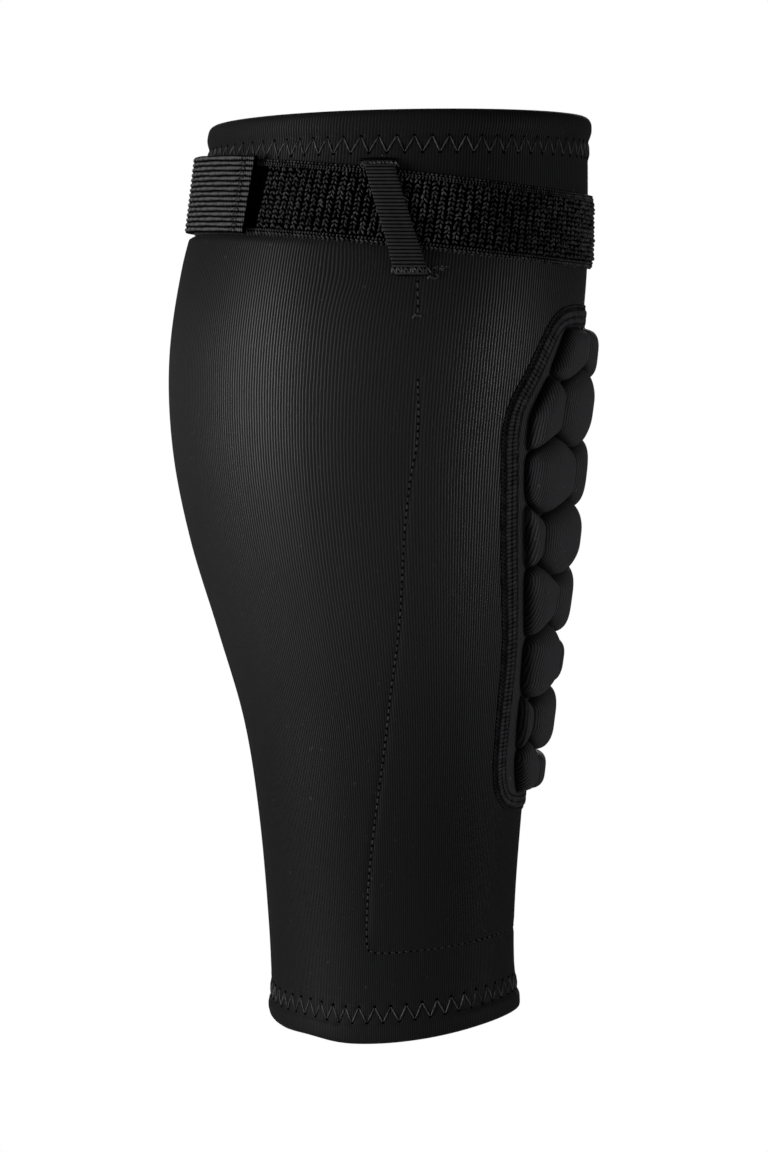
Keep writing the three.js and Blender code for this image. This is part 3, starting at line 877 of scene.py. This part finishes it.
def cell_corners(i, left, right):
    """Corners of one cell, anticlockwise, between two row lines and two valleys."""

    def ends(line):
        first = line[0] if left is None else np.array([left, np.interp(left, line[:, 0], line[:, 1])])
        second = line[-1] if right is None else np.array([right, np.interp(right, line[:, 0], line[:, 1])])
        between = [p for p in line if first[0] + 0.5 < p[0] < second[0] - 0.5]
        return first, between, second

    def swell(a, b):
        height = (a[1] + b[1]) / 2
        reach = cell_reach(height)
        wider = reach > abs(a[0] + b[0]) / 2 + 0.3
        return [np.array([math.copysign(reach, a[0]), height])] if wider else []

    lower_left, lower_between, lower_right = ends(row_line(i + 1))
    upper_left, upper_between, upper_right = ends(row_line(i))
    corners = [lower_left, *lower_between, lower_right]
    corners += swell(lower_right, upper_right) if right is None else []
    corners += [upper_right, *upper_between[::-1], upper_left]
    corners += swell(upper_left, lower_left) if left is None else []
    return np.array(corners)


def pad_lift(places):
    """Lift of the pad's cloth off the leg at places (across, height), painted shade of creases, smooth
    crowns.
    """
    lift = np.full(len(places), panel_lift)
    # Painted shade for the creases, from 1 in a crease to 0.
    crease = np.zeros(len(places))
    smooth = np.zeros(len(places))
    for i, (_, _, crown, valleys) in enumerate(cell_rows):
        stops = [None, *valleys, None]
        for left, right in zip(stops[:-1], stops[1:]):
            corners = cell_corners(i, left, right)
            middle = corners.mean(0)
            run = np.roll(corners, -1, axis=0) - corners
            run = run / np.linalg.norm(run, axis=1, keepdims=True)
            outward = np.stack([run[:, 1], -run[:, 0]], -1)
            distance = (outward * (corners - middle)).sum(1) - cell_gap
            pressed = np.maximum(0, (places - middle) @ outward.T / distance) ** corner_power
            reach = pressed.sum(1) ** (1 / corner_power)
            width = np.ptp(corners[:, 0]) - 2 * cell_gap
            top_lift = least_crown + (crown - least_crown) * math.sqrt(min(1, width / cell_full_width))
            dome = np.maximum(0, 1 - np.minimum(reach / 1.01, 1) ** dome_flatness) ** dome_fall
            lift = np.maximum(lift, panel_lift + (top_lift - panel_lift) * dome)
            from_foot = (reach - 1.02) * np.linalg.norm(places - middle, axis=1) / np.maximum(reach, 0.01)
            # Painted shade: how far the colour is darkened near the foot of each cell, in the creases.
            crease = np.maximum(crease, np.exp(-(from_foot / crease_shade_width) ** 2) * (1 - dome))
            smooth = np.maximum(smooth, 0.75 * np.clip((dome - 0.8) / 0.15, 0, 1))
    return lift, crease, smooth


cover_columns = 210
cover_rows = 380
cover_shape = (cover_rows + 1, cover_columns + 1)
tuck = seam_width - 0.6
cover_edge = inset(outline, tuck)
cover_bottom = cover_edge[:, 1].min() + 0.3
cover_top = cover_edge[:, 1].max() - 0.3
cover, column, row = flat_grid("pad_cover", cover_columns, 2 * cover_rows)
front = row <= cover_rows
front_row = np.where(front, row, 2 * cover_rows - row)
row_number = np.arange(cover_rows + 1)
spread = 0.5 - 0.5 * np.cos(math.pi * row_number / cover_rows)
spread = 0.6 * row_number / cover_rows + 0.4 * spread
cover_heights = cover_bottom + (cover_top - cover_bottom) * spread
cover_halves = panel_half(cover_heights, tuck)
shares = np.linspace(-1, 1, cover_columns + 1)
places = np.stack([
    (shares[None, :] * cover_halves[:, None]).ravel(),
    np.repeat(cover_heights, cover_columns + 1),
], -1)
lifts, crease_shades, crowns = (part.reshape(cover_shape) for part in pad_lift(places))
padded = np.pad(lifts, 1, mode="edge")
lifts = (4 * lifts + padded[:-2, 1:-1] + padded[2:, 1:-1] + padded[1:-1, :-2] + padded[1:-1, 2:]) / 8
tucked_lift = 0.3
back_lifts = np.full_like(lifts, 0.2)
for side_lifts in (lifts, back_lifts):
    side_lifts[0] = side_lifts[-1] = tucked_lift
    side_lifts[:, 0] = side_lifts[:, -1] = tucked_lift
front_points = on_pad(places, lifts.ravel()).reshape(*cover_shape, 3)
back_points = on_pad(places, back_lifts.ravel()).reshape(*cover_shape, 3)
stretch = np.linalg.norm(np.diff(front_points, axis=1), axis=2)
stretch = np.concatenate([np.zeros((cover_rows + 1, 1)), np.cumsum(stretch, axis=1)], axis=1)
stretch = stretch - stretch[:, cover_columns // 2][:, None]
settle_rows = 48
settle = np.exp(-(np.arange(-settle_rows, settle_rows + 1) / 22) ** 2)
settle = settle / settle.sum()
for k in range(cover_columns + 1):
    stretch[:, k] = np.convolve(np.pad(stretch[:, k], settle_rows, mode="edge"), settle, "valid")
pad_wale = 0.8
drawn = 0.6 * stretch + 0.4 * places[:, 0].reshape(cover_shape)
cloth = np.stack([drawn / pad_wale, places[:, 1].reshape(cover_shape) * courses_per_mm], -1)
lay(
    cover,
    np.where(front[:, None], front_points[front_row, column], back_points[front_row, column]),
    cloth[front_row, column],
)
# The crease attribute carries the painted shade of the creases; the crown attribute smooths the weave.
for attribute, values in (("crease", crease_shades), ("crown", crowns)):
    marks = cover.data.attributes.new(attribute, "FLOAT", "POINT")
    marks.data.foreach_set("value", values[front_row, column])
behind = (row > cover_rows + 2) & (row < 2 * cover_rows - 2) & (column > 2) & (column < cover_columns - 2)
back_kept = 0.05
bpy.ops.object.mode_set(mode="EDIT")
bpy.ops.mesh.select_mode(type="VERT")
bpy.ops.mesh.select_all(action="DESELECT")
bpy.ops.object.mode_set(mode="OBJECT")
cover.data.vertices.foreach_set("select", behind)
bpy.ops.object.mode_set(mode="EDIT")
bpy.ops.mesh.decimate(ratio=back_kept)
bpy.ops.object.mode_set(mode="OBJECT")
close_edges(cover)
pad_taut = (0.0, 0.01, 0.4, 0.41)
# Painted light: the pad's cloth is the sleeve's knit, given a much paler colour and little shine in place of
# its sheen.
pad_cloth = knit_material(
    "pad_cloth", (0.044, 0.0429, 0.0462), (0.156, 0.152, 0.1637), 0.5, 0.00003, 0.3, pad_taut, True
)
cover.data.materials.append(pad_cloth)
cells = [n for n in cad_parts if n.startswith("cell_")]
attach(cover, "root")
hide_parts("pad_panel", *cells)


# Pad seam. A flat overlock seam joins the pad's cloth to the sleeve all round. Two ladders of thick bulked
# thread lie side by side on it, with needle holes along the outer edge and small stitches along the inner.
seam_section = np.array([
    (-0.3, 0.02), (0.2, 0.32), (0.9, 0.42), (1.5, 0.46), (2.1, 0.66), (3.5, 0.66), (4.0, 0.4), (4.5, 0.66),
    (5.9, 0.66), (6.4, 0.5), (7.0, 0.5), (7.4, 0.3), (7.2, 0.1), (3.6, 0.05),
])
seam_steps = outline_steps // 2
band, step, corner = flat_grid("pad_seam_band", seam_steps, len(seam_section))
corner = corner % len(seam_section)
rings = np.stack([inset(outline, distance) for distance in seam_section[:, 0]])
lay(
    band,
    on_pad(rings[corner, 2 * step % outline_steps], seam_section[corner, 1]),
    np.stack([step / seam_steps * outline_length, seam_section[corner, 0]], -1),
)
close_edges(band, face_out=True)
seam_ground = thread_material("seam_ground", (0.016, 0.0155, 0.0176), (0.058, 0.0563, 0.063), 0.85, 0.15)
band.data.materials.append(seam_ground)
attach(band, "root")
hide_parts("pad_seam")


def on_ring(distance, stops):
    """Places on the outline moved in by a distance, at fractional numbers of its points."""
    return read_line(inset(outline, distance), np.arange(outline_steps + 1), stops % outline_steps)


def spans(first, second):
    """Middles, directions and lengths of threads between two rows of points."""
    run = second - first
    return (first + second) / 2, run, np.linalg.norm(run, axis=1)


def seam_threads(distance, pitch, run_in, run_along, lift):
    """Threads a pitch apart along the seam: middles, directions, outward sides and lengths."""
    count = int(round(outline_length / pitch))
    stops = (np.arange(count) + 0.5) / count * outline_steps
    lean = run_along / outline_length * outline_steps / 2
    outer = on_pad(on_ring(distance - run_in / 2, stops - lean), lift)
    inner = on_pad(on_ring(distance + run_in / 2, stops + lean), lift)
    middle = on_ring(distance, stops)
    out = face_normal(turn_across(middle[:, 0], middle[:, 1]), middle[:, 1])
    _, run, lengths = spans(outer, inner)
    return on_pad(middle, lift), run, out, lengths


def modelled_pillow(name, bevel):
    """One bulked thread of the ladder, 1 long, 1 wide and 1 high: a block with all its edges rounded."""
    bpy.ops.object.select_all(action="DESELECT")
    bpy.ops.mesh.primitive_cube_add(size=1)
    pillow = bpy.context.object
    pillow.name = name
    bpy.ops.object.mode_set(mode="EDIT")
    bpy.ops.mesh.select_all(action="SELECT")
    bpy.ops.mesh.bevel(offset=bevel, segments=1, affect="EDGES")
    bpy.ops.object.mode_set(mode="OBJECT")
    return pillow


pillow = modelled_pillow("pillow", 0.22)
random = np.random.default_rng(7)
bulked_thread = thread_material("bulked_thread", (0.022, 0.0212, 0.0242), (0.1, 0.0962, 0.109), 0.6)
for name, unit, material, distance, pitch, run_in, run_along, lift, wide, high in (
    ("seam_ladder_outer", pillow, bulked_thread, 2.7, 1.45, 2.1, 0.2, 0.74, 1.36, 0.62),
    ("seam_ladder_inner", pillow, bulked_thread, 5.05, 1.45, 2.0, -0.2, 0.74, 1.36, 0.62),
    ("seam_cross_threads", stitch, bulked_thread, 3.9, 1.45, 0.9, 0.45, 0.7, 0.5, 0.5),
    ("seam_edge_loops", stitch, pocket_thread, 0.1, 1.45, 0.8, 0.45, 0.32, 0.45, 0.45),
    # Near-black painted shade at the seam's needle holes.
    ("seam_needle_holes", stitch, needle_hole_shade, 1.05, 1.45, 0.6, 0.0, 0.42, 0.45, 0.4),
    ("seam_inner_stitches", stitch, bulked_thread, 6.7, 1.05, 0.3, 0.85, 0.6, 0.6, 0.5),
):
    middles, runs, outs, lengths = seam_threads(distance, pitch, run_in, run_along, lift)
    jitter = 1 + random.uniform(-0.12, 0.12, (len(middles), 3))
    piece = copies(name, unit, middles, runs, outs, thread_sizes(lengths, wide, high) * jitter, material)
    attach(piece, "root")
drop(pillow)


# Strap. A 25 mm tape of loop pile goes round below the knee, bedded in the calf. The pile stands in upright
# columns of paired loops, and a narrow knitted selvedge closes both of its edges.
strap_seat = 0.1
strap_length = 420
strap_radius = 66


def on_strap(turn, offset, lift):
    """A place on the strap, by its turn round the leg, its offset up from the middle and its lift."""
    low = on_leg(turn, strap_height(turn, -strap_width / 2), lift - strap_bite(turn) + strap_seat)
    high_at = strap_height(turn, strap_width / 2)
    high = on_leg(turn, high_at, lift + face_lift(turn, high_at) + strap_seat)
    share = np.broadcast_to(offset / strap_width + 0.5, np.shape(turn))[..., None]
    return low + (high - low) * share


strap_section = np.array([
    (-12.4, 0.4), (-12.5, 0.9), (-12.2, 1.35), (-11, 1.5), (-6, 1.5), (0, 1.5), (6, 1.5), (10.4, 1.5),
    (11.5, 1.35), (11.8, 0.9), (11.7, 0.4), (6, 0.36), (0, 0.36), (-6, 0.36),
])
strap_steps = 360
strap, step, corner = flat_grid("strap_band", strap_steps, len(strap_section))
offset, lift = strap_section[corner % len(strap_section)].T
lay(
    strap,
    on_strap(math.pi * (2 * step / strap_steps - 1), offset, lift),
    np.stack([step / strap_steps * strap_length, offset], -1),
)
close_edges(strap)
# The strap's black ground, also used as painted shade on the tab's end faces.
tape_ground_and_end_shade = thread_material("tape_ground_and_end_shade", (0.0006, 0.0006, 0.0006), (0.002, 0.002, 0.002), 0.9, 0.02)
strap.data.materials.append(tape_ground_and_end_shade)
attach(strap, "root")
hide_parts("strap")


def strap_threads(turn, offset, lift, lean):
    """Middles, directions and outward sides of threads on the strap, leaning from upright to the shin."""
    middles = on_strap(turn, offset, lift)
    outs = face_normal(turn, strap_height(turn, offset))
    upright = on_strap(turn, offset + 0.5, lift) - on_strap(turn, offset - 0.5, lift)
    sideways = np.cross(upright, outs)
    runs = np.cos(lean)[:, None] * upright + np.sin(lean)[:, None] * sideways
    return middles, runs, outs


pile_columns = 150
pile_rows = 13
under_tab_turn = math.radians(-146)
under_tab_half = math.radians(35.5)
loops = np.meshgrid(np.arange(pile_columns), np.arange(pile_rows), (-1, 1), indexing="ij")
column, row, leg = (part.ravel() for part in loops)
column_turn = 2 * math.pi * column / pile_columns - math.pi
open_pile = np.abs(column_turn - under_tab_turn) >= under_tab_half
column_turn, row, leg = column_turn[open_pile], row[open_pile], leg[open_pile]
count = len(row)
pile_shift = leg * 0.54 + random.normal(0, 0.12, count)
pile_offset = -10.4 + 19.8 * (row + 0.5) / pile_rows + random.normal(0, 0.14, count)
pile_shift = pile_shift + 0.06 * pile_offset
pile_lift = 1.75 + random.normal(0, 0.14, count)
lean = -leg * np.radians(34 + random.normal(0, 13, count))
middles, runs, outs = strap_threads(column_turn + pile_shift / strap_radius, pile_offset, pile_lift, lean)
runs = runs + 0.35 * outs
sizes = np.array((1.65, 0.7, 0.88)) * (1 + random.normal(0, 0.12, (count, 3)))
pile_yarn = thread_material("pile_yarn", (0.0215, 0.0215, 0.0215), (0.208, 0.2064, 0.2047), 0.5, 0.3)
pile = copies("strap_pile", stitch, middles, runs, outs, sizes, pile_yarn)

edge_turns = []
edge_rows = []
for offset, lift, pitch, lean_degrees, long, wide in (
    (-12.65, 0.95, 1.45, 0, 0.8, 0.65),
    (-12.0, 1.35, 1.45, -62, 1.75, 0.75),
    (-11.0, 1.55, 1.05, 35, 1.1, 0.6),
    (11.35, 1.3, 1.4, 80, 1.2, 0.72),
    (10.5, 1.55, 1.05, -35, 1.1, 0.6),
    (9.8, 1.58, 1.05, 35, 1.0, 0.55),
):
    edge_count = int(round(2 * math.pi * strap_radius / pitch))
    edge_turns.append(2 * math.pi * np.arange(edge_count) / edge_count)
    edge_rows.append(np.tile((offset, lift, math.radians(lean_degrees), long, wide), (edge_count, 1)))
edge_turn = np.concatenate(edge_turns)
edge_offset, edge_lift, edge_lean, edge_long, edge_wide = np.concatenate(edge_rows).T
edge_lean = edge_lean + random.normal(0, 0.12, len(edge_turn))
middles, runs, outs = strap_threads(edge_turn, edge_offset, edge_lift, edge_lean)
sizes = np.stack([edge_long, edge_wide, np.full(len(edge_turn), 0.65)], -1)
sizes = sizes * (1 + random.normal(0, 0.08, sizes.shape))
selvedge = copies("strap_selvedge", stitch, middles, runs, outs, sizes, pile_yarn)
for piece in (pile, selvedge):
    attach(piece, "root")


# Pull tab. A piece of heavy ribbed webbing sewn over the strap's end, with fifteen round cords along it. Its
# free end is turned under and sewn down with a row of chevron stitches, and stands a little off the strap.
tab_width = 25
tab_middle = -0.4
tab_ribs = 15
tab_thickness = 1.7
tab_free_end = math.radians(-114)
tab_sewn_end = math.radians(-182)
tab_length = 78
tab_turn_per_mm = (tab_free_end - tab_sewn_end) / tab_length
tab_fold = 6.4
tab_seat = 2.9
tab_core = 0.7
curl_start = 0.6
curl_rise = 1.5
rib_pitch = tab_width / tab_ribs
rib_steps = 8
rib_height = 0.36
cord_share = 0.66
cord_twist = 1.05


def on_tab(from_sewn_end, offset, lift):
    """A place on the tab, by its distance from the sewn end, its offset up and its lift off the strap."""
    share = from_sewn_end / tab_length
    curl = curl_rise * np.maximum(0, (share - curl_start) / (1 - curl_start)) ** 2
    turn = tab_sewn_end + from_sewn_end * tab_turn_per_mm
    return on_strap(turn, tab_middle + offset, tab_seat + curl + lift)


rib_step = np.arange(tab_ribs * rib_steps + 1)
rib_swing = 2 * ((rib_step / rib_steps) % 1) - 1
rib_round = np.sqrt(np.maximum(0, 1 - (rib_swing / cord_share) ** 2))
rib_offset = tab_width * (rib_step / (tab_ribs * rib_steps) - 0.5)
tab_back = np.array([(12.6, 0.9), (12.5, 0.1), (6, 0.0), (0, 0.0), (-6, 0.0), (-12.5, 0.1), (-12.6, 0.9)])
no_ribs = np.zeros(len(tab_back))
tab_section = np.stack([
    np.concatenate([rib_offset, tab_back[:, 0]]),
    np.concatenate([rib_round, no_ribs]),
    np.concatenate([rib_swing, no_ribs]),
    np.concatenate([np.zeros(len(rib_offset)), tab_back[:, 1]]),
], -1)
tab_steps = 400
tab, step, corner = flat_grid("pull_tab", tab_steps, len(tab_section))
corner = corner % len(tab_section)
ribbed = corner < len(rib_offset)
offset, cord_round, swing, back = tab_section[corner].T
from_sewn = step / tab_steps * tab_length
folded = np.clip((from_sewn - (tab_length - tab_fold)) / 0.6, 0, 1)
cord = cord_round * (1 + 0.2 * np.sin(2 * math.pi * (from_sewn / cord_twist + 0.35 * swing)))
face = tab_thickness - rib_height + (rib_height - 0.06 * folded) * cord + 0.2 * folded
section_lift = np.where(ribbed, face, back - 0.5 * folded)
end_round = np.sqrt(np.clip(np.minimum(tab_length - from_sewn, from_sewn) / 0.4, 0, 1))
section_lift = tab_core + (section_lift - tab_core) * (0.8 + 0.2 * end_round)
wobble = 0.07 * np.sin(0.31 * from_sewn + 2.1 * offset) * ribbed
lay(
    tab,
    on_tab(from_sewn, offset + wobble, section_lift),
    np.stack([from_sewn, offset / rib_pitch + 0.5], -1),
)
close_edges(tab, fill=True)


def corded_material(name, dark, light, roughness, twist, slant, shine, hollow, plies):
    """Ribbed weave: each rib is a cord of slanting threads, and the hollows between the ribs are dark."""
    material, tree = new_material(name)
    along, rib_number = flat_places(tree)
    slope = maths(tree, "MULTIPLY", rib_number, slant)
    run = maths(tree, "MULTIPLY_ADD", along, twist, slope)
    fray = noise(tree, 900.0, 2.0)
    strand = maths(tree, "SINE", maths(tree, "MULTIPLY_ADD", fray, 2.2, run))
    height = maths(tree, "MULTIPLY_ADD", strand, plies, rounded_ribs(tree, rib_number))
    frayed = maths(tree, "MULTIPLY_ADD", fray, 0.35, height)
    colour = dark_to_light(tree, frayed, hollow, dark, 1.0, light)
    gloss = ranged(tree, strand, -1.0, 1.0, roughness + 0.12, roughness - 0.08)
    dress(tree, colour, gloss, shine, frayed, 0.8, 0.00016)
    return material


webbing = corded_material(
    "ribbed_webbing", (0.0005, 0.0005, 0.0005), (0.23, 0.23, 0.228), 0.6, 7.0, 2.4, 0.1, 0.82, 0.26
)
tab.data.materials.append(webbing)
# Painted shade: the tab's filled end faces take the near-black ground in place of the shade on them.
tab.data.materials.append(tape_ground_and_end_shade)
for face in tab.data.polygons:
    face.material_index = int(len(face.vertices) > 4)
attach(tab, "root")
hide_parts("strap_tab")

chevron_inset = 4.6
chevron_reach = 1.7
chevron_rise = 0.6
chevron_offset = tab_width * ((np.arange(tab_ribs) + 0.5) / tab_ribs - 0.5)
chevron_lift = np.full(tab_ribs, tab_thickness + 0.34)
feet = []
peaks = []
outs = []
for sewn_at in (tab_length - chevron_inset, chevron_inset):
    row_at = np.full(tab_ribs, sewn_at)
    turn = tab_sewn_end + row_at * tab_turn_per_mm
    for side in (-1, 1):
        feet.append(on_tab(row_at + side * chevron_reach, chevron_offset - chevron_rise, chevron_lift))
        peaks.append(on_tab(row_at, chevron_offset + chevron_rise, chevron_lift))
        outs.append(face_normal(turn, strap_height(turn, chevron_offset)))
middles, runs, _ = spans(np.concatenate(feet), np.concatenate(peaks))
outs = np.concatenate(outs)
tab_stitches = copies("tab_stitches", stitch, middles, runs, outs, (1.9, 0.66, 0.75), stitch_thread)
hole_middles = middles - runs * 0.62
# Near-black painted shade at the tab's needle holes.
tab_holes = copies("tab_needle_holes", stitch, hole_middles, runs, outs, (0.55, 0.5, 0.6), needle_hole_shade)
for piece in (tab_stitches, tab_holes):
    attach(piece, "root")


# Keeper. A 9 mm grosgrain ribbon slants over the strap and holds it up. Both ends are rolled under and sewn
# to the sleeve with a bar tack, above and below the strap.
keeper_width = 8.6
keeper_turn = math.radians(-73)
keeper_slant = 0.38
keeper_thickness = 0.9
keeper_low = -21.4
keeper_high = 14.2
rib_tilt = 0.12
keeper_path = np.array([
    (-21.5, 0.35), (-18, 0.35), (-15.5, 1.45), (-13, 2.75), (-11, 2.9), (-6, 2.9), (0, 2.9), (6, 2.9),
    (10.5, 2.8), (12, 2.3), (13, 1.2), (14, 0.4), (15.8, 0.35),
])
keeper_steps = 400
path_ease = 8
path_offset = np.linspace(keeper_low, keeper_high, keeper_steps + 1)
path_lift = np.pad(np.interp(path_offset, *keeper_path.T), path_ease, mode="edge")
path_lift = np.convolve(path_lift, np.ones(2 * path_ease + 1) / (2 * path_ease + 1), "valid")
rib_count = 32
ribs = np.abs(np.sin(math.pi * rib_count * np.linspace(0, 1, keeper_steps + 1))) ** 0.6
keeper_section = np.array([
    (-0.5, 0.25), (-0.5, 0.6), (-0.46, 0.8), (-0.3, 0.8), (-0.1, 0.78), (0.1, 0.78), (0.3, 0.8), (0.46, 0.8),
    (0.5, 0.6), (0.5, 0.25), (0.2, 0.0), (-0.2, 0.0),
])
keeper_foot = face_point(keeper_turn, strap_level)
keeper_radius = math.hypot(keeper_foot[0], keeper_foot[1])
strap_middle = -0.4
strap_reach = 12.3
step_down = 1.6


def on_keeper(share, offset, lift):
    """A place on the keeper: share of its width from its middle line, offset up from the strap's middle."""
    across = keeper_width * share - keeper_slant * offset
    turn = keeper_turn + across / keeper_radius
    offset = offset + rib_tilt * keeper_width * share
    height = strap_height(turn, offset)
    on_sleeve = on_leg(turn, height, lift + face_lift(turn, height))
    over_strap = on_strap(turn, offset, lift)
    past_strap = np.abs(offset - strap_middle) - strap_reach
    near = np.clip(past_strap / step_down, 0, 1)[..., None]
    return over_strap + (on_sleeve - over_strap) * near


keeper, corner, step = flat_grid("keeper_ribbon", len(keeper_section), keeper_steps)
share, level = keeper_section[corner % len(keeper_section)].T
up = path_offset[step]
at_face = level > 0.5
section_lift = level * keeper_thickness + np.where(at_face, 0.36 * ribs[step] - 0.24, 0)
narrowed = 0.96 + 0.04 * ribs[step] + 0.1 * np.exp(-((up + 20) / 6) ** 2)
crease = np.exp(-((share - 0.24) / 0.16) ** 2 - ((up + 4) / 11) ** 2)
section_lift = section_lift - 0.55 * crease * at_face
lay(
    keeper,
    on_keeper(share * narrowed, up, path_lift[step] + section_lift),
    np.stack([share * keeper_width, step / keeper_steps * rib_count], -1),
)
close_edges(keeper, fill=True)
ribbon = corded_material(
    "grosgrain", (0.001, 0.001, 0.001), (0.085, 0.0843, 0.0837), 0.55, 1.8, 0.6, 0.2, 0.45, 0.03
)
keeper.data.materials.append(ribbon)
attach(keeper, "root")
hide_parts("strap_keeper")

tack_count = 18
tack_share = np.linspace(-0.6, 0.6, tack_count)
tack_swing = np.where(np.arange(tack_count) % 2 == 0, 0.75, -0.75)
tack_slant = 0.03
starts = []
ends = []
for offset, lift in ((keeper_low + 1.5, 1.2), (keeper_high - 1.3, 1.75)):
    shares = tack_share + random.normal(0, 0.02, tack_count)
    starts.append(on_keeper(shares - tack_slant, offset - tack_swing, lift))
    ends.append(on_keeper(shares + tack_slant, offset + tack_swing, lift))
middles, runs, lengths = spans(np.concatenate(starts), np.concatenate(ends))
outs = np.tile(face_normal(keeper_turn, strap_level), (len(middles), 1))
sizes = thread_sizes(lengths * 1.25, 0.5, 0.55)
keeper_tacks = copies("keeper_tacks", stitch, middles, runs, outs, sizes, stitch_thread)

end_offsets = np.array([keeper_low + 0.2, keeper_high + 0.2])
end_lifts = np.array([0.55, 0.75])
end_shares = np.array([0.63, 0.74])
first = on_keeper(-end_shares, end_offsets, end_lifts)
middles, runs, lengths = spans(first, on_keeper(end_shares, end_offsets, end_lifts))
roll = modelled_stitch("rolled_end", 0.15)
sizes = thread_sizes(lengths, 1.25, 1.2)
keeper_rolls = copies("keeper_rolled_ends", roll, middles, runs, outs[:2], sizes, ribbon)
drop(roll)
for piece, slot in ((keeper_tacks, "seam_thread"), (keeper_rolls, "ribbon")):
    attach(piece, "root")


# Thread ends. The tacks and the pocket's short line leave little tufts of cut thread on the sleeve.
# Each tuft is a few short threads that lie crosswise at one place.
tuft_threads = []
for turn_degrees, height, count, spread in (
    (-58.6, 257.7, 13, 1.0),
    (-60.6, 254.9, 6, 0.8),
    (-62.9, 242.2, 13, 0.5),
    (-76.8, 294.2, 2, 0.6),
):
    turn = math.radians(turn_degrees) + random.normal(0, spread / 65, count)
    tuft_threads.append(np.stack([turn, height + random.normal(0, spread * 0.4, count)], -1))
tuft_threads = np.concatenate(tuft_threads)
lean = random.uniform(-1.0, 1.0, (len(tuft_threads), 2)) * (0.013, 0.7)
middles, runs, outs, lengths = thread_between(tuft_threads - lean, tuft_threads + lean, 0.25)
sizes = thread_sizes(lengths, 0.42, 0.42)
thread_ends = copies("thread_ends", stitch, middles, runs, outs, sizes, stitch_thread)
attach(thread_ends, "root")
drop(stitch)
